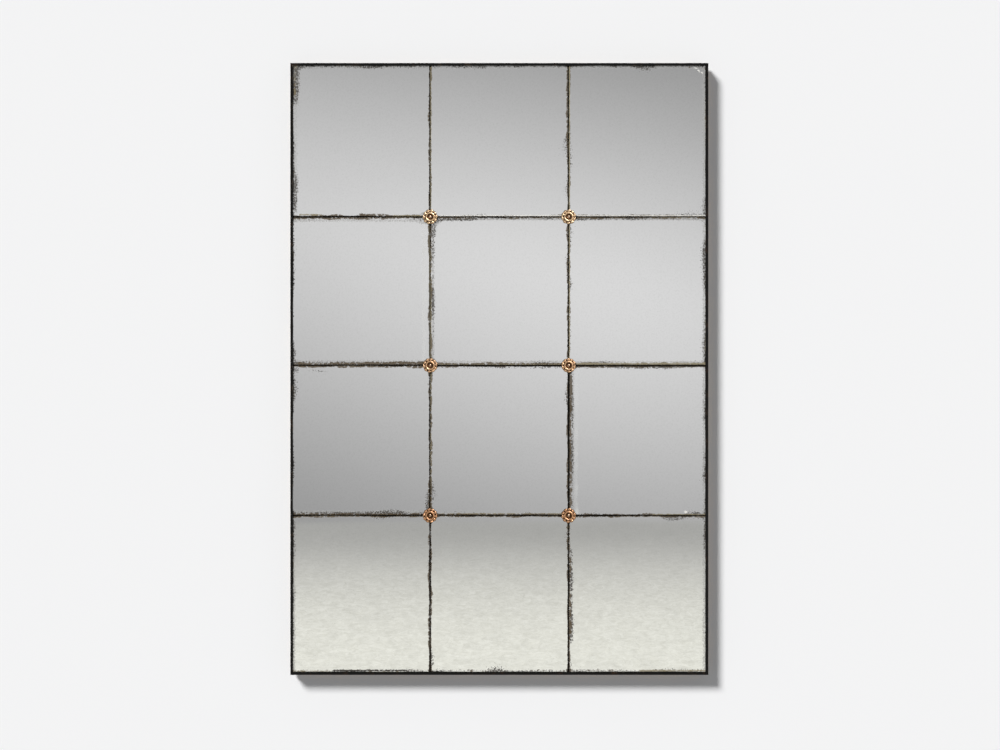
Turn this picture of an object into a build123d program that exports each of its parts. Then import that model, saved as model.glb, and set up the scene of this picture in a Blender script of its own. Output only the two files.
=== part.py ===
from build123d import *

import os

# A wall mirror of twelve antiqued panes in a forged iron frame, with brass rosettes
# over the inner crossings. Millimetres. X runs to the viewer's right, Y towards the
# wall and Z up. The origin is the centre of the wall plane, which the bumpers touch.

# Mirror face: three columns of panes, four rows from top to bottom
COLUMNS = ["left", "middle", "right"]
PANE_W = 343.0
ROW_1_H = 378.0
ROW_2_H = 368.0
ROW_3_H = 372.0
ROW_4_H = 392.0
PANE_T = 4.0
PANE_ARRIS = 1.2
JOINT_GAP = 2.0
CORNER_NICK_CLEARANCE = 1.5

# Mastic pads behind each pane, one in the middle and four about it
PAD_R = 25.0
PAD_T = 1.7
PAD_SPREAD = 0.3

# Iron frame, an L-section with its lip in front of the glass
IRON_T = 3.0
LIP_W = 8.0
LIP_CLEARANCE = 0.3
EDGE_CLEARANCE = 1.0
IRON_EDGE_R = 0.8
FRAME_WALL_GAP = 2.0

# Backing board and the battens behind it
BOARD_T = 9.0
BOARD_CLEARANCE = 1.5
BATTEN_W = 45.0
BATTEN_T = 12.0

# Rosettes: a scalloped rim of petals, a raised bead and a sunk floor for the screw
ROSETTE_R = 19.0
PETALS = 10
PETAL_R = 4.6
PETAL_CENTRE_H = 1.2
RIM_R = 16.4
RIM_H = 2.2
BEAD_OUTER_R = 12.0
BEAD_INNER_R = 7.5
BEAD_SHOULDER_H = 6.0
BEAD_H = 8.6
FLOOR_H = 3.0
PIT_R = 1.2
PIT_RING_R = 13.4
PIT_FLOOR_H = 0.9
GASKET_R = 15.0
GASKET_T = 0.8

# Rosette screws, their washers and nuts
BOLT_R = 2.5
BOLT_CLEARANCE = 0.25
BOLT_HEAD_R = 4.4
BOLT_HEAD_H = 3.4
BOLT_HEAD_EDGE_H = 0.8
BOLT_TIP = 1.5
THREAD_CLEARANCE = 0.05
WASHER_R = 7.5
WASHER_T = 1.2
NUT_FLATS = 8.0
NUT_T = 4.0

# Countersunk wood screws, all of one size
SCREW_R = 2.0
SCREW_L = 18.0
SCREW_HEAD_R = 4.0
SCREW_HEAD_H = 2.3
SCREW_RIM_H = 0.3
SCREW_TIP_H = 3.0
SCREW_CLEARANCE = 0.05
SCREW_RECESS_W = 1.0
SCREW_RECESS_L = 4.4
SCREW_RECESS_D = 1.3

# Retaining tabs welded inside the frame, lying on the backs of the battens
TAB_W = 25.0
TAB_REACH = 22.0
TAB_T = 2.0
TAB_SCREW_INSET = 14.0

# Strap hangers and their D-rings
WIRE_R = 2.0
WIRE_CLEARANCE = 0.3
STRAP_T = 1.5
STRAP_W = 15.0
STRAP_HOLES = 3
STRAP_FIRST_HOLE = 12.0
STRAP_HOLE_PITCH = 17.0
RING_SIDE_CLEARANCE = 0.5
RING_CORNER_R = 5.0
RING_LEG = 2.0
HANGER_DROP = 215.0

# Rubber bumpers, which keep the hangers clear of the wall
HANGER_WALL_GAP = 0.4
BUMPER_FACE_R = 8.0
BUMPER_BASE_R = 10.0
BUMPER_SEAT_DEPTH = 4.0
BUMPER_BORE_CLEARANCE = 0.6

# Where the fastenings stand, as shares of the half length that they hold
STILE_SCREWS = [-0.91, -0.56, 0.0, 0.56, 0.91]
RAIL_SCREWS = [-0.9, -0.36, 0.36, 0.9]
STILE_TABS = [-0.84, -0.28, 0.28, 0.84]
RAIL_TABS = [-0.66, 0.0, 0.66]

# Plan of the face, worked out from the panes
ROW_HEIGHTS = [ROW_1_H, ROW_2_H, ROW_3_H, ROW_4_H]
INNER_W = len(COLUMNS) * PANE_W + (len(COLUMNS) - 1) * JOINT_GAP + 2 * EDGE_CLEARANCE
INNER_H = sum(ROW_HEIGHTS) + (len(ROW_HEIGHTS) - 1) * JOINT_GAP + 2 * EDGE_CLEARANCE
OUTER_W = INNER_W + 2 * IRON_T
OUTER_H = INNER_H + 2 * IRON_T
BOARD_W = INNER_W - 2 * BOARD_CLEARANCE
BOARD_H = INNER_H - 2 * BOARD_CLEARANCE
BATTEN_SPAN = BOARD_W - 2 * BATTEN_W
STILE_X = (BOARD_W - BATTEN_W) / 2
RAIL_Z = (BOARD_H - BATTEN_W) / 2

# Depths, worked out from the wall plane at Y = 0 towards the front
BARREL_BORE_R = WIRE_R + WIRE_CLEARANCE
BARREL_R = BARREL_BORE_R + STRAP_T
BUMPER_H = 2 * BARREL_R + HANGER_WALL_GAP
BATTEN_BACK_Y = -BUMPER_H
BOARD_BACK_Y = BATTEN_BACK_Y - BATTEN_T
BOARD_FRONT_Y = BOARD_BACK_Y - BOARD_T
PANE_BACK_Y = BOARD_FRONT_Y - PAD_T
PANE_FRONT_Y = PANE_BACK_Y - PANE_T
LIP_BACK_Y = PANE_FRONT_Y - LIP_CLEARANCE
FRAME_FRONT_Y = LIP_BACK_Y - IRON_T
FRAME_BACK_Y = -FRAME_WALL_GAP
ROSETTE_BACK_Y = PANE_FRONT_Y - GASKET_T
HINGE_Y = BATTEN_BACK_Y + BARREL_R
HINGE_Z = BOARD_H / 2 - HANGER_DROP

BOLT_HOLE_R = BOLT_R + BOLT_CLEARANCE
NICK_R = BOLT_HOLE_R + CORNER_NICK_CLEARANCE


def column_x(column):
    """Centre of a column of panes, counted from 0 at the left."""
    return (column - (len(COLUMNS) - 1) / 2) * (PANE_W + JOINT_GAP)


def row_top(row):
    """Top edge of a row of panes, counted from 0 at the top."""
    return INNER_H / 2 - EDGE_CLEARANCE - sum(ROW_HEIGHTS[:row]) - row * JOINT_GAP


def row_middle(row):
    """Centre height of a row of panes."""
    return row_top(row) - ROW_HEIGHTS[row] / 2


def crossings():
    """The inner crossings of the joints as (x, z), from the top left, row by row."""
    heights = [row_top(row) + JOINT_GAP / 2 for row in range(1, len(ROW_HEIGHTS))]
    places = [column_x(column) + (PANE_W + JOINT_GAP) / 2 for column in range(len(COLUMNS) - 1)]
    return [(x, z) for z in heights for x in places]


def to_front(x, y, z):
    """Place a turned piece at a point with its axis towards the viewer."""
    return Pos(x, y, z) * Rot(90, 0, 0)


def to_wall(x, y, z):
    """Place a turned piece at a point with its axis towards the wall."""
    return Pos(x, y, z) * Rot(-90, 0, 0)


def slab(x, z, width, height, back_y, thickness):
    """A flat board seen from the front as width by height, its back at back_y."""
    return Pos(x, back_y - thickness / 2, z) * Box(width, thickness, height)


def disc(radius, height):
    """A round disc standing on its own base."""
    return Cylinder(radius, height, align=(Align.CENTER, Align.CENTER, Align.MIN))


def washer(radius, bore, height):
    """A round disc with a bore."""
    return disc(radius, height) - disc(bore, height)


def turned(points):
    """A solid turned about Z from an outline of (radius, height) points."""
    outline = make_face(Plane.XZ * Polyline(*points, close=True))
    return revolve(outline, Axis.Z)


def group(pieces):
    """Separate pieces kept together under one name."""
    return Compound([piece.solid() for piece in pieces])


def wood_screw(clearance=0.0):
    """A countersunk screw below its head's face, or with a clearance, the hole for it."""
    head_r = SCREW_HEAD_R + clearance
    shank_r = SCREW_R + clearance
    points = [
        (0, 0),
        (head_r, 0),
        (head_r, -SCREW_RIM_H),
        (shank_r, -SCREW_HEAD_H),
        (shank_r, SCREW_TIP_H - SCREW_L),
        (0, -SCREW_L - clearance),
    ]
    screw = turned(points)
    if clearance > 0:
        return screw
    bar = Pos(0, 0, -SCREW_RECESS_D / 2) * Box(SCREW_RECESS_L, SCREW_RECESS_W, SCREW_RECESS_D)
    return screw - bar - Rot(0, 0, 90) * bar


# Iron frame

def frame_bar(length):
    """A mitred L-section bar along X, its outer face at Z = 0 and its body above it."""
    depth = FRAME_BACK_Y - FRAME_FRONT_Y
    outline = Polyline(
        (FRAME_BACK_Y, 0),
        (FRAME_FRONT_Y, 0),
        (FRAME_FRONT_Y, LIP_W),
        (LIP_BACK_Y, LIP_W),
        (LIP_BACK_Y, IRON_T),
        (FRAME_BACK_Y, IRON_T),
        close=True,
    )
    section = make_face(outline)
    front_corners = section.vertices().filter_by_position(
        Axis.X, FRAME_FRONT_Y - IRON_T / 2, FRAME_FRONT_Y + IRON_T / 2
    )
    section = fillet(front_corners, IRON_EDGE_R)
    bar = Pos(-length / 2, 0, 0) * extrude(Plane.YZ * section, length)
    mitre = Polyline(
        (-length / 2, 0),
        (length / 2, 0),
        (length / 2 - LIP_W, LIP_W),
        (LIP_W - length / 2, LIP_W),
        close=True,
    )
    face = Plane(origin=(0, FRAME_BACK_Y, 0), x_dir=(1, 0, 0), z_dir=(0, -1, 0))
    return bar & extrude(face * make_face(mitre), depth)


def iron_frame():
    """The four bars of the frame by name."""
    rail = frame_bar(OUTER_W)
    stile = frame_bar(OUTER_H)
    return {
        "frame_rail_bottom": Pos(0, 0, -OUTER_H / 2) * rail,
        "frame_rail_top": Pos(0, 0, OUTER_H / 2) * Rot(0, 180, 0) * rail,
        "frame_stile_left": Pos(-OUTER_W / 2, 0, 0) * Rot(0, 90, 0) * stile,
        "frame_stile_right": Pos(OUTER_W / 2, 0, 0) * Rot(0, -90, 0) * stile,
    }


# Mirror panes and the mastic behind them

def pane(row, column):
    """One pane with its arrises, nicked at each corner that a rosette screw passes."""
    plate = slab(
        column_x(column), row_middle(row), PANE_W, ROW_HEIGHTS[row], PANE_BACK_Y, PANE_T
    )
    front = plate.faces().sort_by(Axis.Y)[0]
    plate = chamfer(front.edges(), PANE_ARRIS)
    reach_x = (PANE_W + JOINT_GAP) / 2 + JOINT_GAP
    reach_z = (ROW_HEIGHTS[row] + JOINT_GAP) / 2 + JOINT_GAP
    for x, z in crossings():
        if abs(x - column_x(column)) < reach_x and abs(z - row_middle(row)) < reach_z:
            plate -= to_front(x, PANE_BACK_Y, z) * disc(NICK_R, PANE_T)
    return plate


def mirror_panes():
    """Every pane by name."""
    return {
        f"pane_row{row + 1}_{side}": pane(row, column)
        for row in range(len(ROW_HEIGHTS))
        for column, side in enumerate(COLUMNS)
    }


def mastic_pads():
    """Five round pads behind every pane."""
    pads = []
    spots = [(0, 0), (-1, -1), (-1, 1), (1, -1), (1, 1)]
    for row, height in enumerate(ROW_HEIGHTS):
        for column in range(len(COLUMNS)):
            for across, up in spots:
                x = column_x(column) + across * PAD_SPREAD * PANE_W
                z = row_middle(row) + up * PAD_SPREAD * height
                pads.append(to_front(x, BOARD_FRONT_Y, z) * disc(PAD_R, PAD_T))
    return group(pads)


# Backing board, battens and what is screwed to them

def side_places(x, shares, half_length):
    """Places down both stiles as (x, z), the left stile first."""
    return [(side * x, share * half_length) for side in (-1, 1) for share in shares]


def rail_places(z_values, shares, half_length):
    """Places along each rail as (x, z)."""
    return [(share * half_length, z) for z in z_values for share in shares]


RAIL_HEIGHTS = [RAIL_Z, row_middle(1), row_middle(2), -RAIL_Z]
BATTEN_SCREWS = side_places(STILE_X, STILE_SCREWS, BOARD_H / 2) + rail_places(
    RAIL_HEIGHTS, RAIL_SCREWS, BATTEN_SPAN / 2
)
TAB_SCREW_X = INNER_W / 2 - TAB_SCREW_INSET
TAB_SCREW_Z = INNER_H / 2 - TAB_SCREW_INSET
TAB_SCREWS = side_places(TAB_SCREW_X, STILE_TABS, BOARD_H / 2) + rail_places(
    [TAB_SCREW_Z, -TAB_SCREW_Z], RAIL_TABS, BATTEN_SPAN / 2
)
BUMPER_PLACES = [(side * STILE_X, end * RAIL_Z) for end in (1, -1) for side in (-1, 1)]
HANGER_SCREWS = [
    (side * STILE_X, HINGE_Z - STRAP_FIRST_HOLE - hole * STRAP_HOLE_PITCH)
    for side in (-1, 1)
    for hole in range(STRAP_HOLES)
]


def back_screws(places, head_y):
    """Countersunk screws driven from the back, their heads' faces at head_y."""
    screw = wood_screw()
    return group([to_wall(x, head_y, z) * screw for x, z in places])


def bore_for_screws(piece, places, head_y):
    """Cut the holes of every screw whose place lies within the piece's outline."""
    hole = wood_screw(SCREW_CLEARANCE)
    box = piece.bounding_box()
    for x, z in places:
        within_x = box.min.X - SCREW_HEAD_R < x < box.max.X + SCREW_HEAD_R
        within_z = box.min.Z - SCREW_HEAD_R < z < box.max.Z + SCREW_HEAD_R
        if within_x and within_z:
            piece -= to_wall(x, head_y, z) * hole
    return piece


TAB_BACK_Y = BATTEN_BACK_Y + TAB_T
STRAP_BACK_Y = BATTEN_BACK_Y + STRAP_T
BUMPER_SCREW_Y = -BUMPER_SEAT_DEPTH


def bore_for_all_screws(piece):
    """Cut the screw holes that reach a batten or the board."""
    piece = bore_for_screws(piece, BATTEN_SCREWS, BATTEN_BACK_Y)
    piece = bore_for_screws(piece, TAB_SCREWS, TAB_BACK_Y)
    piece = bore_for_screws(piece, HANGER_SCREWS, STRAP_BACK_Y)
    return bore_for_screws(piece, BUMPER_PLACES, BUMPER_SCREW_Y)


def backing_board():
    """The board that carries the panes, drilled for the rosette screws."""
    board = slab(0, 0, BOARD_W, BOARD_H, BOARD_BACK_Y, BOARD_T)
    for x, z in crossings():
        board -= to_front(x, BOARD_BACK_Y, z) * disc(BOLT_HOLE_R, BOARD_T)
    return bore_for_all_screws(board)


def battens():
    """Two stiles the full height of the board, and four rails between them, by name."""
    stiles = {"batten_stile_left": -STILE_X, "batten_stile_right": STILE_X}
    names = ["batten_rail_top", "batten_cross_upper", "batten_cross_lower", "batten_rail_bottom"]
    bars = {
        name: slab(x, 0, BATTEN_W, BOARD_H, BATTEN_BACK_Y, BATTEN_T) for name, x in stiles.items()
    }
    for name, z in zip(names, RAIL_HEIGHTS):
        bars[name] = slab(0, z, BATTEN_SPAN, BATTEN_W, BATTEN_BACK_Y, BATTEN_T)
    return {name: bore_for_all_screws(bar) for name, bar in bars.items()}


def retaining_tabs():
    """Steel tabs from the inside of the flange over the backs of the battens."""
    side_x = (INNER_W - TAB_REACH) / 2
    end_z = (INNER_H - TAB_REACH) / 2
    tabs = [
        slab(x, z, TAB_REACH, TAB_W, TAB_BACK_Y, TAB_T)
        for x, z in side_places(side_x, STILE_TABS, BOARD_H / 2)
    ]
    tabs += [
        slab(x, z, TAB_W, TAB_REACH, TAB_BACK_Y, TAB_T)
        for x, z in rail_places([end_z, -end_z], RAIL_TABS, BATTEN_SPAN / 2)
    ]
    return group([bore_for_screws(tab, TAB_SCREWS, TAB_BACK_Y) for tab in tabs])


def wall_bumpers():
    """Tapered rubber bumpers at the batten corners, bored so that the heads sit deep."""
    blank = turned(
        [(0, 0), (BUMPER_BASE_R, 0), (BUMPER_FACE_R, BUMPER_H), (0, BUMPER_H)]
    )
    bore = disc(SCREW_HEAD_R + BUMPER_BORE_CLEARANCE, BUMPER_SEAT_DEPTH)
    seat = Pos(0, 0, BUMPER_H - BUMPER_SEAT_DEPTH)
    bumper = blank - seat * bore - seat * wood_screw(SCREW_CLEARANCE)
    return group([to_wall(x, BATTEN_BACK_Y, z) * bumper for x, z in BUMPER_PLACES])


# Rosettes and their fastenings

def rosette():
    """One rosette about Z with its back at Z = 0."""
    outline = Polyline(
        (BEAD_OUTER_R, BEAD_SHOULDER_H),
        (BEAD_OUTER_R, RIM_H),
        (RIM_R, RIM_H),
        (RIM_R, 0),
        (BOLT_HOLE_R, 0),
        (BOLT_HOLE_R, FLOOR_H),
        (BEAD_INNER_R, FLOOR_H),
        (BEAD_INNER_R, BEAD_SHOULDER_H),
    )
    crown = ThreePointArc(outline @ 1, ((BEAD_INNER_R + BEAD_OUTER_R) / 2, BEAD_H), outline @ 0)
    body = revolve(Plane.XZ * make_face(outline + crown), Axis.Z)
    pitch_r = ROSETTE_R - PETAL_R
    petal = Pos(pitch_r, 0, PETAL_CENTRE_H) * Sphere(PETAL_R)
    step = 360 / PETALS
    petals = [Rot(0, 0, index * step) * petal for index in range(PETALS)]
    core = disc(BEAD_OUTER_R, BEAD_SHOULDER_H)
    below = Pos(0, 0, -2 * PETAL_R) * disc(2 * ROSETTE_R, 2 * PETAL_R)
    petals = [single - below - core for single in petals]
    body = body + petals
    pit = Pos(PIT_RING_R, 0, PIT_FLOOR_H) * disc(PIT_R, BEAD_H)
    for index in range(PETALS):
        body -= Rot(0, 0, (index + 0.5) * step) * pit
    return body


def rosettes():
    """Six rosettes by name, each turned a little differently on its screw."""
    model = rosette()
    levels = ["upper", "middle", "lower"]
    sides = COLUMNS[:1] + COLUMNS[-1:]
    names = [f"rosette_{level}_{side}" for level in levels for side in sides]
    turn = 360 / PETALS / len(names)
    return {
        name: to_front(x, ROSETTE_BACK_Y, z) * Rot(0, 0, index * turn) * model
        for index, (name, (x, z)) in enumerate(zip(names, crossings()))
    }


def bolt():
    """A dome-head screw about Z, the underside of its head at Z = 0."""
    dome_h = BOLT_HEAD_H - BOLT_HEAD_EDGE_H
    dome_r = (BOLT_HEAD_R**2 + dome_h**2) / (2 * dome_h)
    head = disc(BOLT_HEAD_R, BOLT_HEAD_H) & Pos(0, 0, BOLT_HEAD_H - dome_r) * Sphere(dome_r)
    length = BOARD_BACK_Y + WASHER_T + NUT_T + BOLT_TIP - ROSETTE_BACK_Y + FLOOR_H
    return head + Pos(0, 0, -length) * disc(BOLT_R, length)


def rosette_fastenings():
    """Gaskets, screws, washers and nuts of the rosettes by name."""
    gasket = washer(GASKET_R, BOLT_HOLE_R, GASKET_T)
    plain = washer(WASHER_R, BOLT_HOLE_R, WASHER_T)
    hexagon = extrude(RegularPolygon(NUT_FLATS / 2, 6, major_radius=False), NUT_T)
    nut = hexagon - disc(BOLT_R + THREAD_CLEARANCE, NUT_T)
    screw = bolt()
    places = crossings()
    nut_y = BOARD_BACK_Y + WASHER_T
    return {
        "rosette_gaskets": group([to_front(x, PANE_FRONT_Y, z) * gasket for x, z in places]),
        "rosette_screws": group(
            [to_front(x, ROSETTE_BACK_Y - FLOOR_H, z) * screw for x, z in places]
        ),
        "rosette_washers": group([to_wall(x, BOARD_BACK_Y, z) * plain for x, z in places]),
        "rosette_nuts": group([to_wall(x, nut_y, z) * nut for x, z in places]),
    }


# Hangers

def hanger_strap():
    """A strap rolled into a barrel at its top, its barrel's axis through the origin."""
    length = STRAP_FIRST_HOLE + (STRAP_HOLES - 1) * STRAP_HOLE_PITCH
    plate_y = STRAP_T / 2 - BARREL_R
    plate = Pos(0, plate_y, -length / 2) * Box(STRAP_W, STRAP_T, length)
    end = to_wall(0, -BARREL_R, -length) * disc(STRAP_W / 2, STRAP_T)
    across = Rot(0, 90, 0) * Pos(0, 0, -STRAP_W / 2)
    return plate + end + across * disc(BARREL_R, STRAP_W) - across * disc(BARREL_BORE_R, STRAP_W)


def hanger_ring():
    """A D-ring of round wire, its straight bar along X through the origin."""
    half_bar = STRAP_W / 2 + RING_SIDE_CLEARANCE
    bow_r = half_bar + RING_CORNER_R
    bar = Line((-half_bar, 0), (half_bar, 0))
    corner = JernArc(bar @ 1, bar % 1, RING_CORNER_R, -90)
    leg = Line(corner @ 1, corner @ 1 + (corner % 1) * RING_LEG)
    bow = JernArc(leg @ 1, leg % 1, bow_r, -180)
    return_leg = Line(bow @ 1, bow @ 1 + (bow % 1) * RING_LEG)
    last_corner = JernArc(return_leg @ 1, return_leg % 1, RING_CORNER_R, -90)
    path = Wire([bar, corner, leg, bow, return_leg, last_corner])
    ring = sweep(Plane(origin=bar @ 0, z_dir=bar % 0) * Circle(WIRE_R), path=path)
    return Plane.XZ * ring


def hangers():
    """Both straps and both rings by name, the rings hanging straight down."""
    strap = hanger_strap()
    ring = hanger_ring()
    pieces = {}
    for side, x in (("left", -STILE_X), ("right", STILE_X)):
        place = Pos(x, HINGE_Y, HINGE_Z)
        pieces[f"hanger_strap_{side}"] = bore_for_screws(
            place * strap, HANGER_SCREWS, STRAP_BACK_Y
        )
        pieces[f"hanger_ring_{side}"] = place * ring
    return pieces


pieces = {}
pieces.update(iron_frame())
pieces.update(mirror_panes())
pieces["mastic_pads"] = mastic_pads()
pieces["backing_board"] = backing_board()
pieces.update(battens())
pieces["batten_screws"] = back_screws(BATTEN_SCREWS, BATTEN_BACK_Y)
pieces["retaining_tabs"] = retaining_tabs()
pieces["tab_screws"] = back_screws(TAB_SCREWS, TAB_BACK_Y)
pieces["wall_bumpers"] = wall_bumpers()
pieces["bumper_screws"] = back_screws(BUMPER_PLACES, BUMPER_SCREW_Y)
pieces.update(rosettes())
pieces.update(rosette_fastenings())
pieces.update(hangers())
pieces["hanger_screws"] = back_screws(HANGER_SCREWS, STRAP_BACK_Y)

os.makedirs("parts", exist_ok=True)
for name, piece in pieces.items():
    export_step(piece, f"parts/{name}.step")
print(f"{len(pieces)} pieces, frame {OUTER_W:.1f} x {OUTER_H:.1f} x {-FRAME_FRONT_Y:.1f} mm")
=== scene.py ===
"""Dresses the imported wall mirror: twelve antiqued panes in a slim forged iron frame.

The panes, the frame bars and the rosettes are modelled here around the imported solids.
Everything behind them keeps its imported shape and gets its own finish. Metres; X runs to
the viewer's right, Y towards the wall and Z up.
"""

import logging
import math
from dataclasses import dataclass, field
from enum import Enum

import bmesh
import bpy
from mathutils import Matrix, Vector, noise


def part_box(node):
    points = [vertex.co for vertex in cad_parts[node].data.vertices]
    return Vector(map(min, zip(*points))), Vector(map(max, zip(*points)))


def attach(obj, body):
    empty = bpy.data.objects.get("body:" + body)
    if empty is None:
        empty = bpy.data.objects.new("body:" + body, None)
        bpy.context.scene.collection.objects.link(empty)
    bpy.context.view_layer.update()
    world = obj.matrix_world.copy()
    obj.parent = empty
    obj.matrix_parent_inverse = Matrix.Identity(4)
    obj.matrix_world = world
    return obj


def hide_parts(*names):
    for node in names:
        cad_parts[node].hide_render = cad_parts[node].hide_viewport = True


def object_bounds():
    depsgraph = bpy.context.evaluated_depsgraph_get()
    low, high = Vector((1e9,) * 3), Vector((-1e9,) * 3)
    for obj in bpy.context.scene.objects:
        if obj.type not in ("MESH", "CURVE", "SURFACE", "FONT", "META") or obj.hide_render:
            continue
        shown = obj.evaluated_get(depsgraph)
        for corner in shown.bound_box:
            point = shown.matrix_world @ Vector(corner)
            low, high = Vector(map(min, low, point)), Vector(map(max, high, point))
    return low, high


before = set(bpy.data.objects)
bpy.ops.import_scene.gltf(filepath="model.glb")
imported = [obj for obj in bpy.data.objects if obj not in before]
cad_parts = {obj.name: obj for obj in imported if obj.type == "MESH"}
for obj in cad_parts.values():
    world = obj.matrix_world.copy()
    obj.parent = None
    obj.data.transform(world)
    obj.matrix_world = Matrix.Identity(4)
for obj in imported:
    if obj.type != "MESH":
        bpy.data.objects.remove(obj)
CAD_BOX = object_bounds()

LOG = logging.getLogger("wall_mirror")
MM = 0.001
FRONT = Vector((0, -1, 0))
# Two places closer than this are the same place
SAME = 1e-6
# The noise vectors start from a seed, so that each run hammers and cuts the same shapes
NOISE_SEED = 11

# Socket places of the colour Mix node, whose names are shared by all its data types
MIX_FACTOR = 0
MIX_A = 6
MIX_B = 7
MIX_COLOUR = 2


# Small helpers for nodes, colours and pieces

def linear(code: str) -> tuple[float, float, float, float]:
    """Turns an sRGB hex colour into linear red, green, blue and alpha.

    Args:
        code: Six hex digits after a hash sign.

    Returns:
        The colour as the shader nodes take it.
    """
    parts = [int(code[place:place + 2], 16) / 255 for place in (1, 3, 5)]
    lit = [part / 12.92 if part <= 0.04045 else ((part + 0.055) / 1.055) ** 2.4 for part in parts]
    return (*lit, 1.0)


def per_metre(millimetres: float) -> float:
    """The texture scale whose features are that many millimetres apart."""
    return 1 / (millimetres * MM)


def add_node(
    tree: bpy.types.NodeTree, kind: str, inputs: dict[str | int, object] | None = None, **settings: object
) -> bpy.types.Node:
    """Adds one shader node with its settings, its input values and its links.

    Args:
        tree: The node tree that gets the node.
        kind: Blender's name of the node's type.
        inputs: Values or output sockets, by the input's name or place.
        settings: The node's own properties by name.

    Returns:
        The new node.
    """
    node = tree.nodes.new(kind)
    for name, value in settings.items():
        setattr(node, name, value)
    for place, value in (inputs or {}).items():
        if isinstance(value, bpy.types.NodeSocket):
            tree.links.new(value, node.inputs[place])
        else:
            node.inputs[place].default_value = value
    return node


def start_material(name: str) -> tuple[bpy.types.Material, bpy.types.Node]:
    """Makes a material that holds one Principled shader and nothing else.

    Args:
        name: The material's name.

    Returns:
        The material and its shader node.
    """
    material = bpy.data.materials.new(name)
    material.use_nodes = True
    tree = material.node_tree
    tree.nodes.clear()
    shader = add_node(tree, "ShaderNodeBsdfPrincipled")
    add_node(tree, "ShaderNodeOutputMaterial", {"Surface": shader.outputs["BSDF"]})
    return material, shader


def keep_piece(
    build: bmesh.types.BMesh,
    name: str,
    finish: bpy.types.Material,
    stands_for: str,
) -> bpy.types.Object:
    """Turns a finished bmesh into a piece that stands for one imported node.

    Args:
        build: The mesh, in its place in the object.
        name: The piece's name.
        finish: Its material.
        stands_for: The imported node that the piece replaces.

    Returns:
        The new object, riding on the root body.
    """
    bmesh.ops.recalc_face_normals(build, faces=build.faces)
    mesh = bpy.data.meshes.new(name)
    build.to_mesh(mesh)
    build.free()
    piece = bpy.data.objects.new(name, mesh)
    bpy.context.scene.collection.objects.link(piece)
    mesh.materials.append(finish)
    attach(piece, "root")
    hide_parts(stands_for)
    LOG.info("%s: %d faces, stands for %s", name, len(mesh.polygons), stands_for)
    return piece


def slice_mesh(build: bmesh.types.BMesh, places: list[float], normal: Vector) -> None:
    """Cuts edges across the whole mesh at each place along a direction.

    Args:
        build: The mesh to cut.
        places: Distances along the normal from the origin.
        normal: The direction that the cuts face.
    """
    for place in places:
        bmesh.ops.bisect_plane(
            build,
            geom=build.verts[:] + build.edges[:] + build.faces[:],
            plane_co=normal * place,
            plane_no=normal,
        )


def light_only(lamp: bpy.types.Object, lit: list[bpy.types.Object]) -> None:
    """Keeps a lamp's light to some objects.

    Args:
        lamp: The lamp.
        lit: The objects that it lights.
    """
    receivers = bpy.data.collections.new(f"lit_by_{lamp.name}")
    for piece in lit:
        receivers.objects.link(piece)
    lamp.light_linking.receiver_collection = receivers


# Finishes

class Tone(Enum):
    """What a stain on the silvering is, or a painted highlight on an arris, by the name of its attribute on
    the panes.
    """

    HAZE = "stain_haze"
    SMUDGE = "stain_smudge"
    SPECKS = "stain_specks"
    BROWN = "stain_brown"
    # Tan patina, partly a painted sheen where an arris catches the light
    TAN = "tan_stain_and_sheen"
    BLACK = "stain_black"
    # Painted highlight: a pale line where an arris catches the light
    PALE = "stain_pale"


@dataclass(frozen=True)
class ToneLook:
    """How one tone looks: its colour, how much it hides, and the patches it breaks into.

    The patch is the pattern's size in millimetres, spread says how far the pattern moves
    the painted strength, and edge how soft the patches' borders are.
    """

    colour: str
    cover: float
    patch: float
    detail: float
    spread: float
    edge: float


# From the silver upwards: each lies over the ones before it
TONE_LOOKS = {
    Tone.HAZE: ToneLook("#D9D9D5", 0.5, 26.0, 3.0, 1.1, 0.5),
    Tone.SMUDGE: ToneLook("#5F5B50", 0.55, 5.0, 4.0, 1.8, 0.35),
    Tone.SPECKS: ToneLook("#2E261B", 0.88, 3.4, 1.0, 2.2, 0.18),
    Tone.BROWN: ToneLook("#544733", 0.94, 8.0, 5.0, 2.1, 0.16),
    Tone.TAN: ToneLook("#8F866E", 0.9, 8.0, 3.0, 1.3, 0.25),
    Tone.BLACK: ToneLook("#221C14", 0.96, 4.2, 3.0, 1.6, 0.16),
    # The pale tone is a painted highlight along arrises
    Tone.PALE: ToneLook("#EFECE4", 0.9, 9.0, 2.0, 1.0, 0.22),
}


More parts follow.
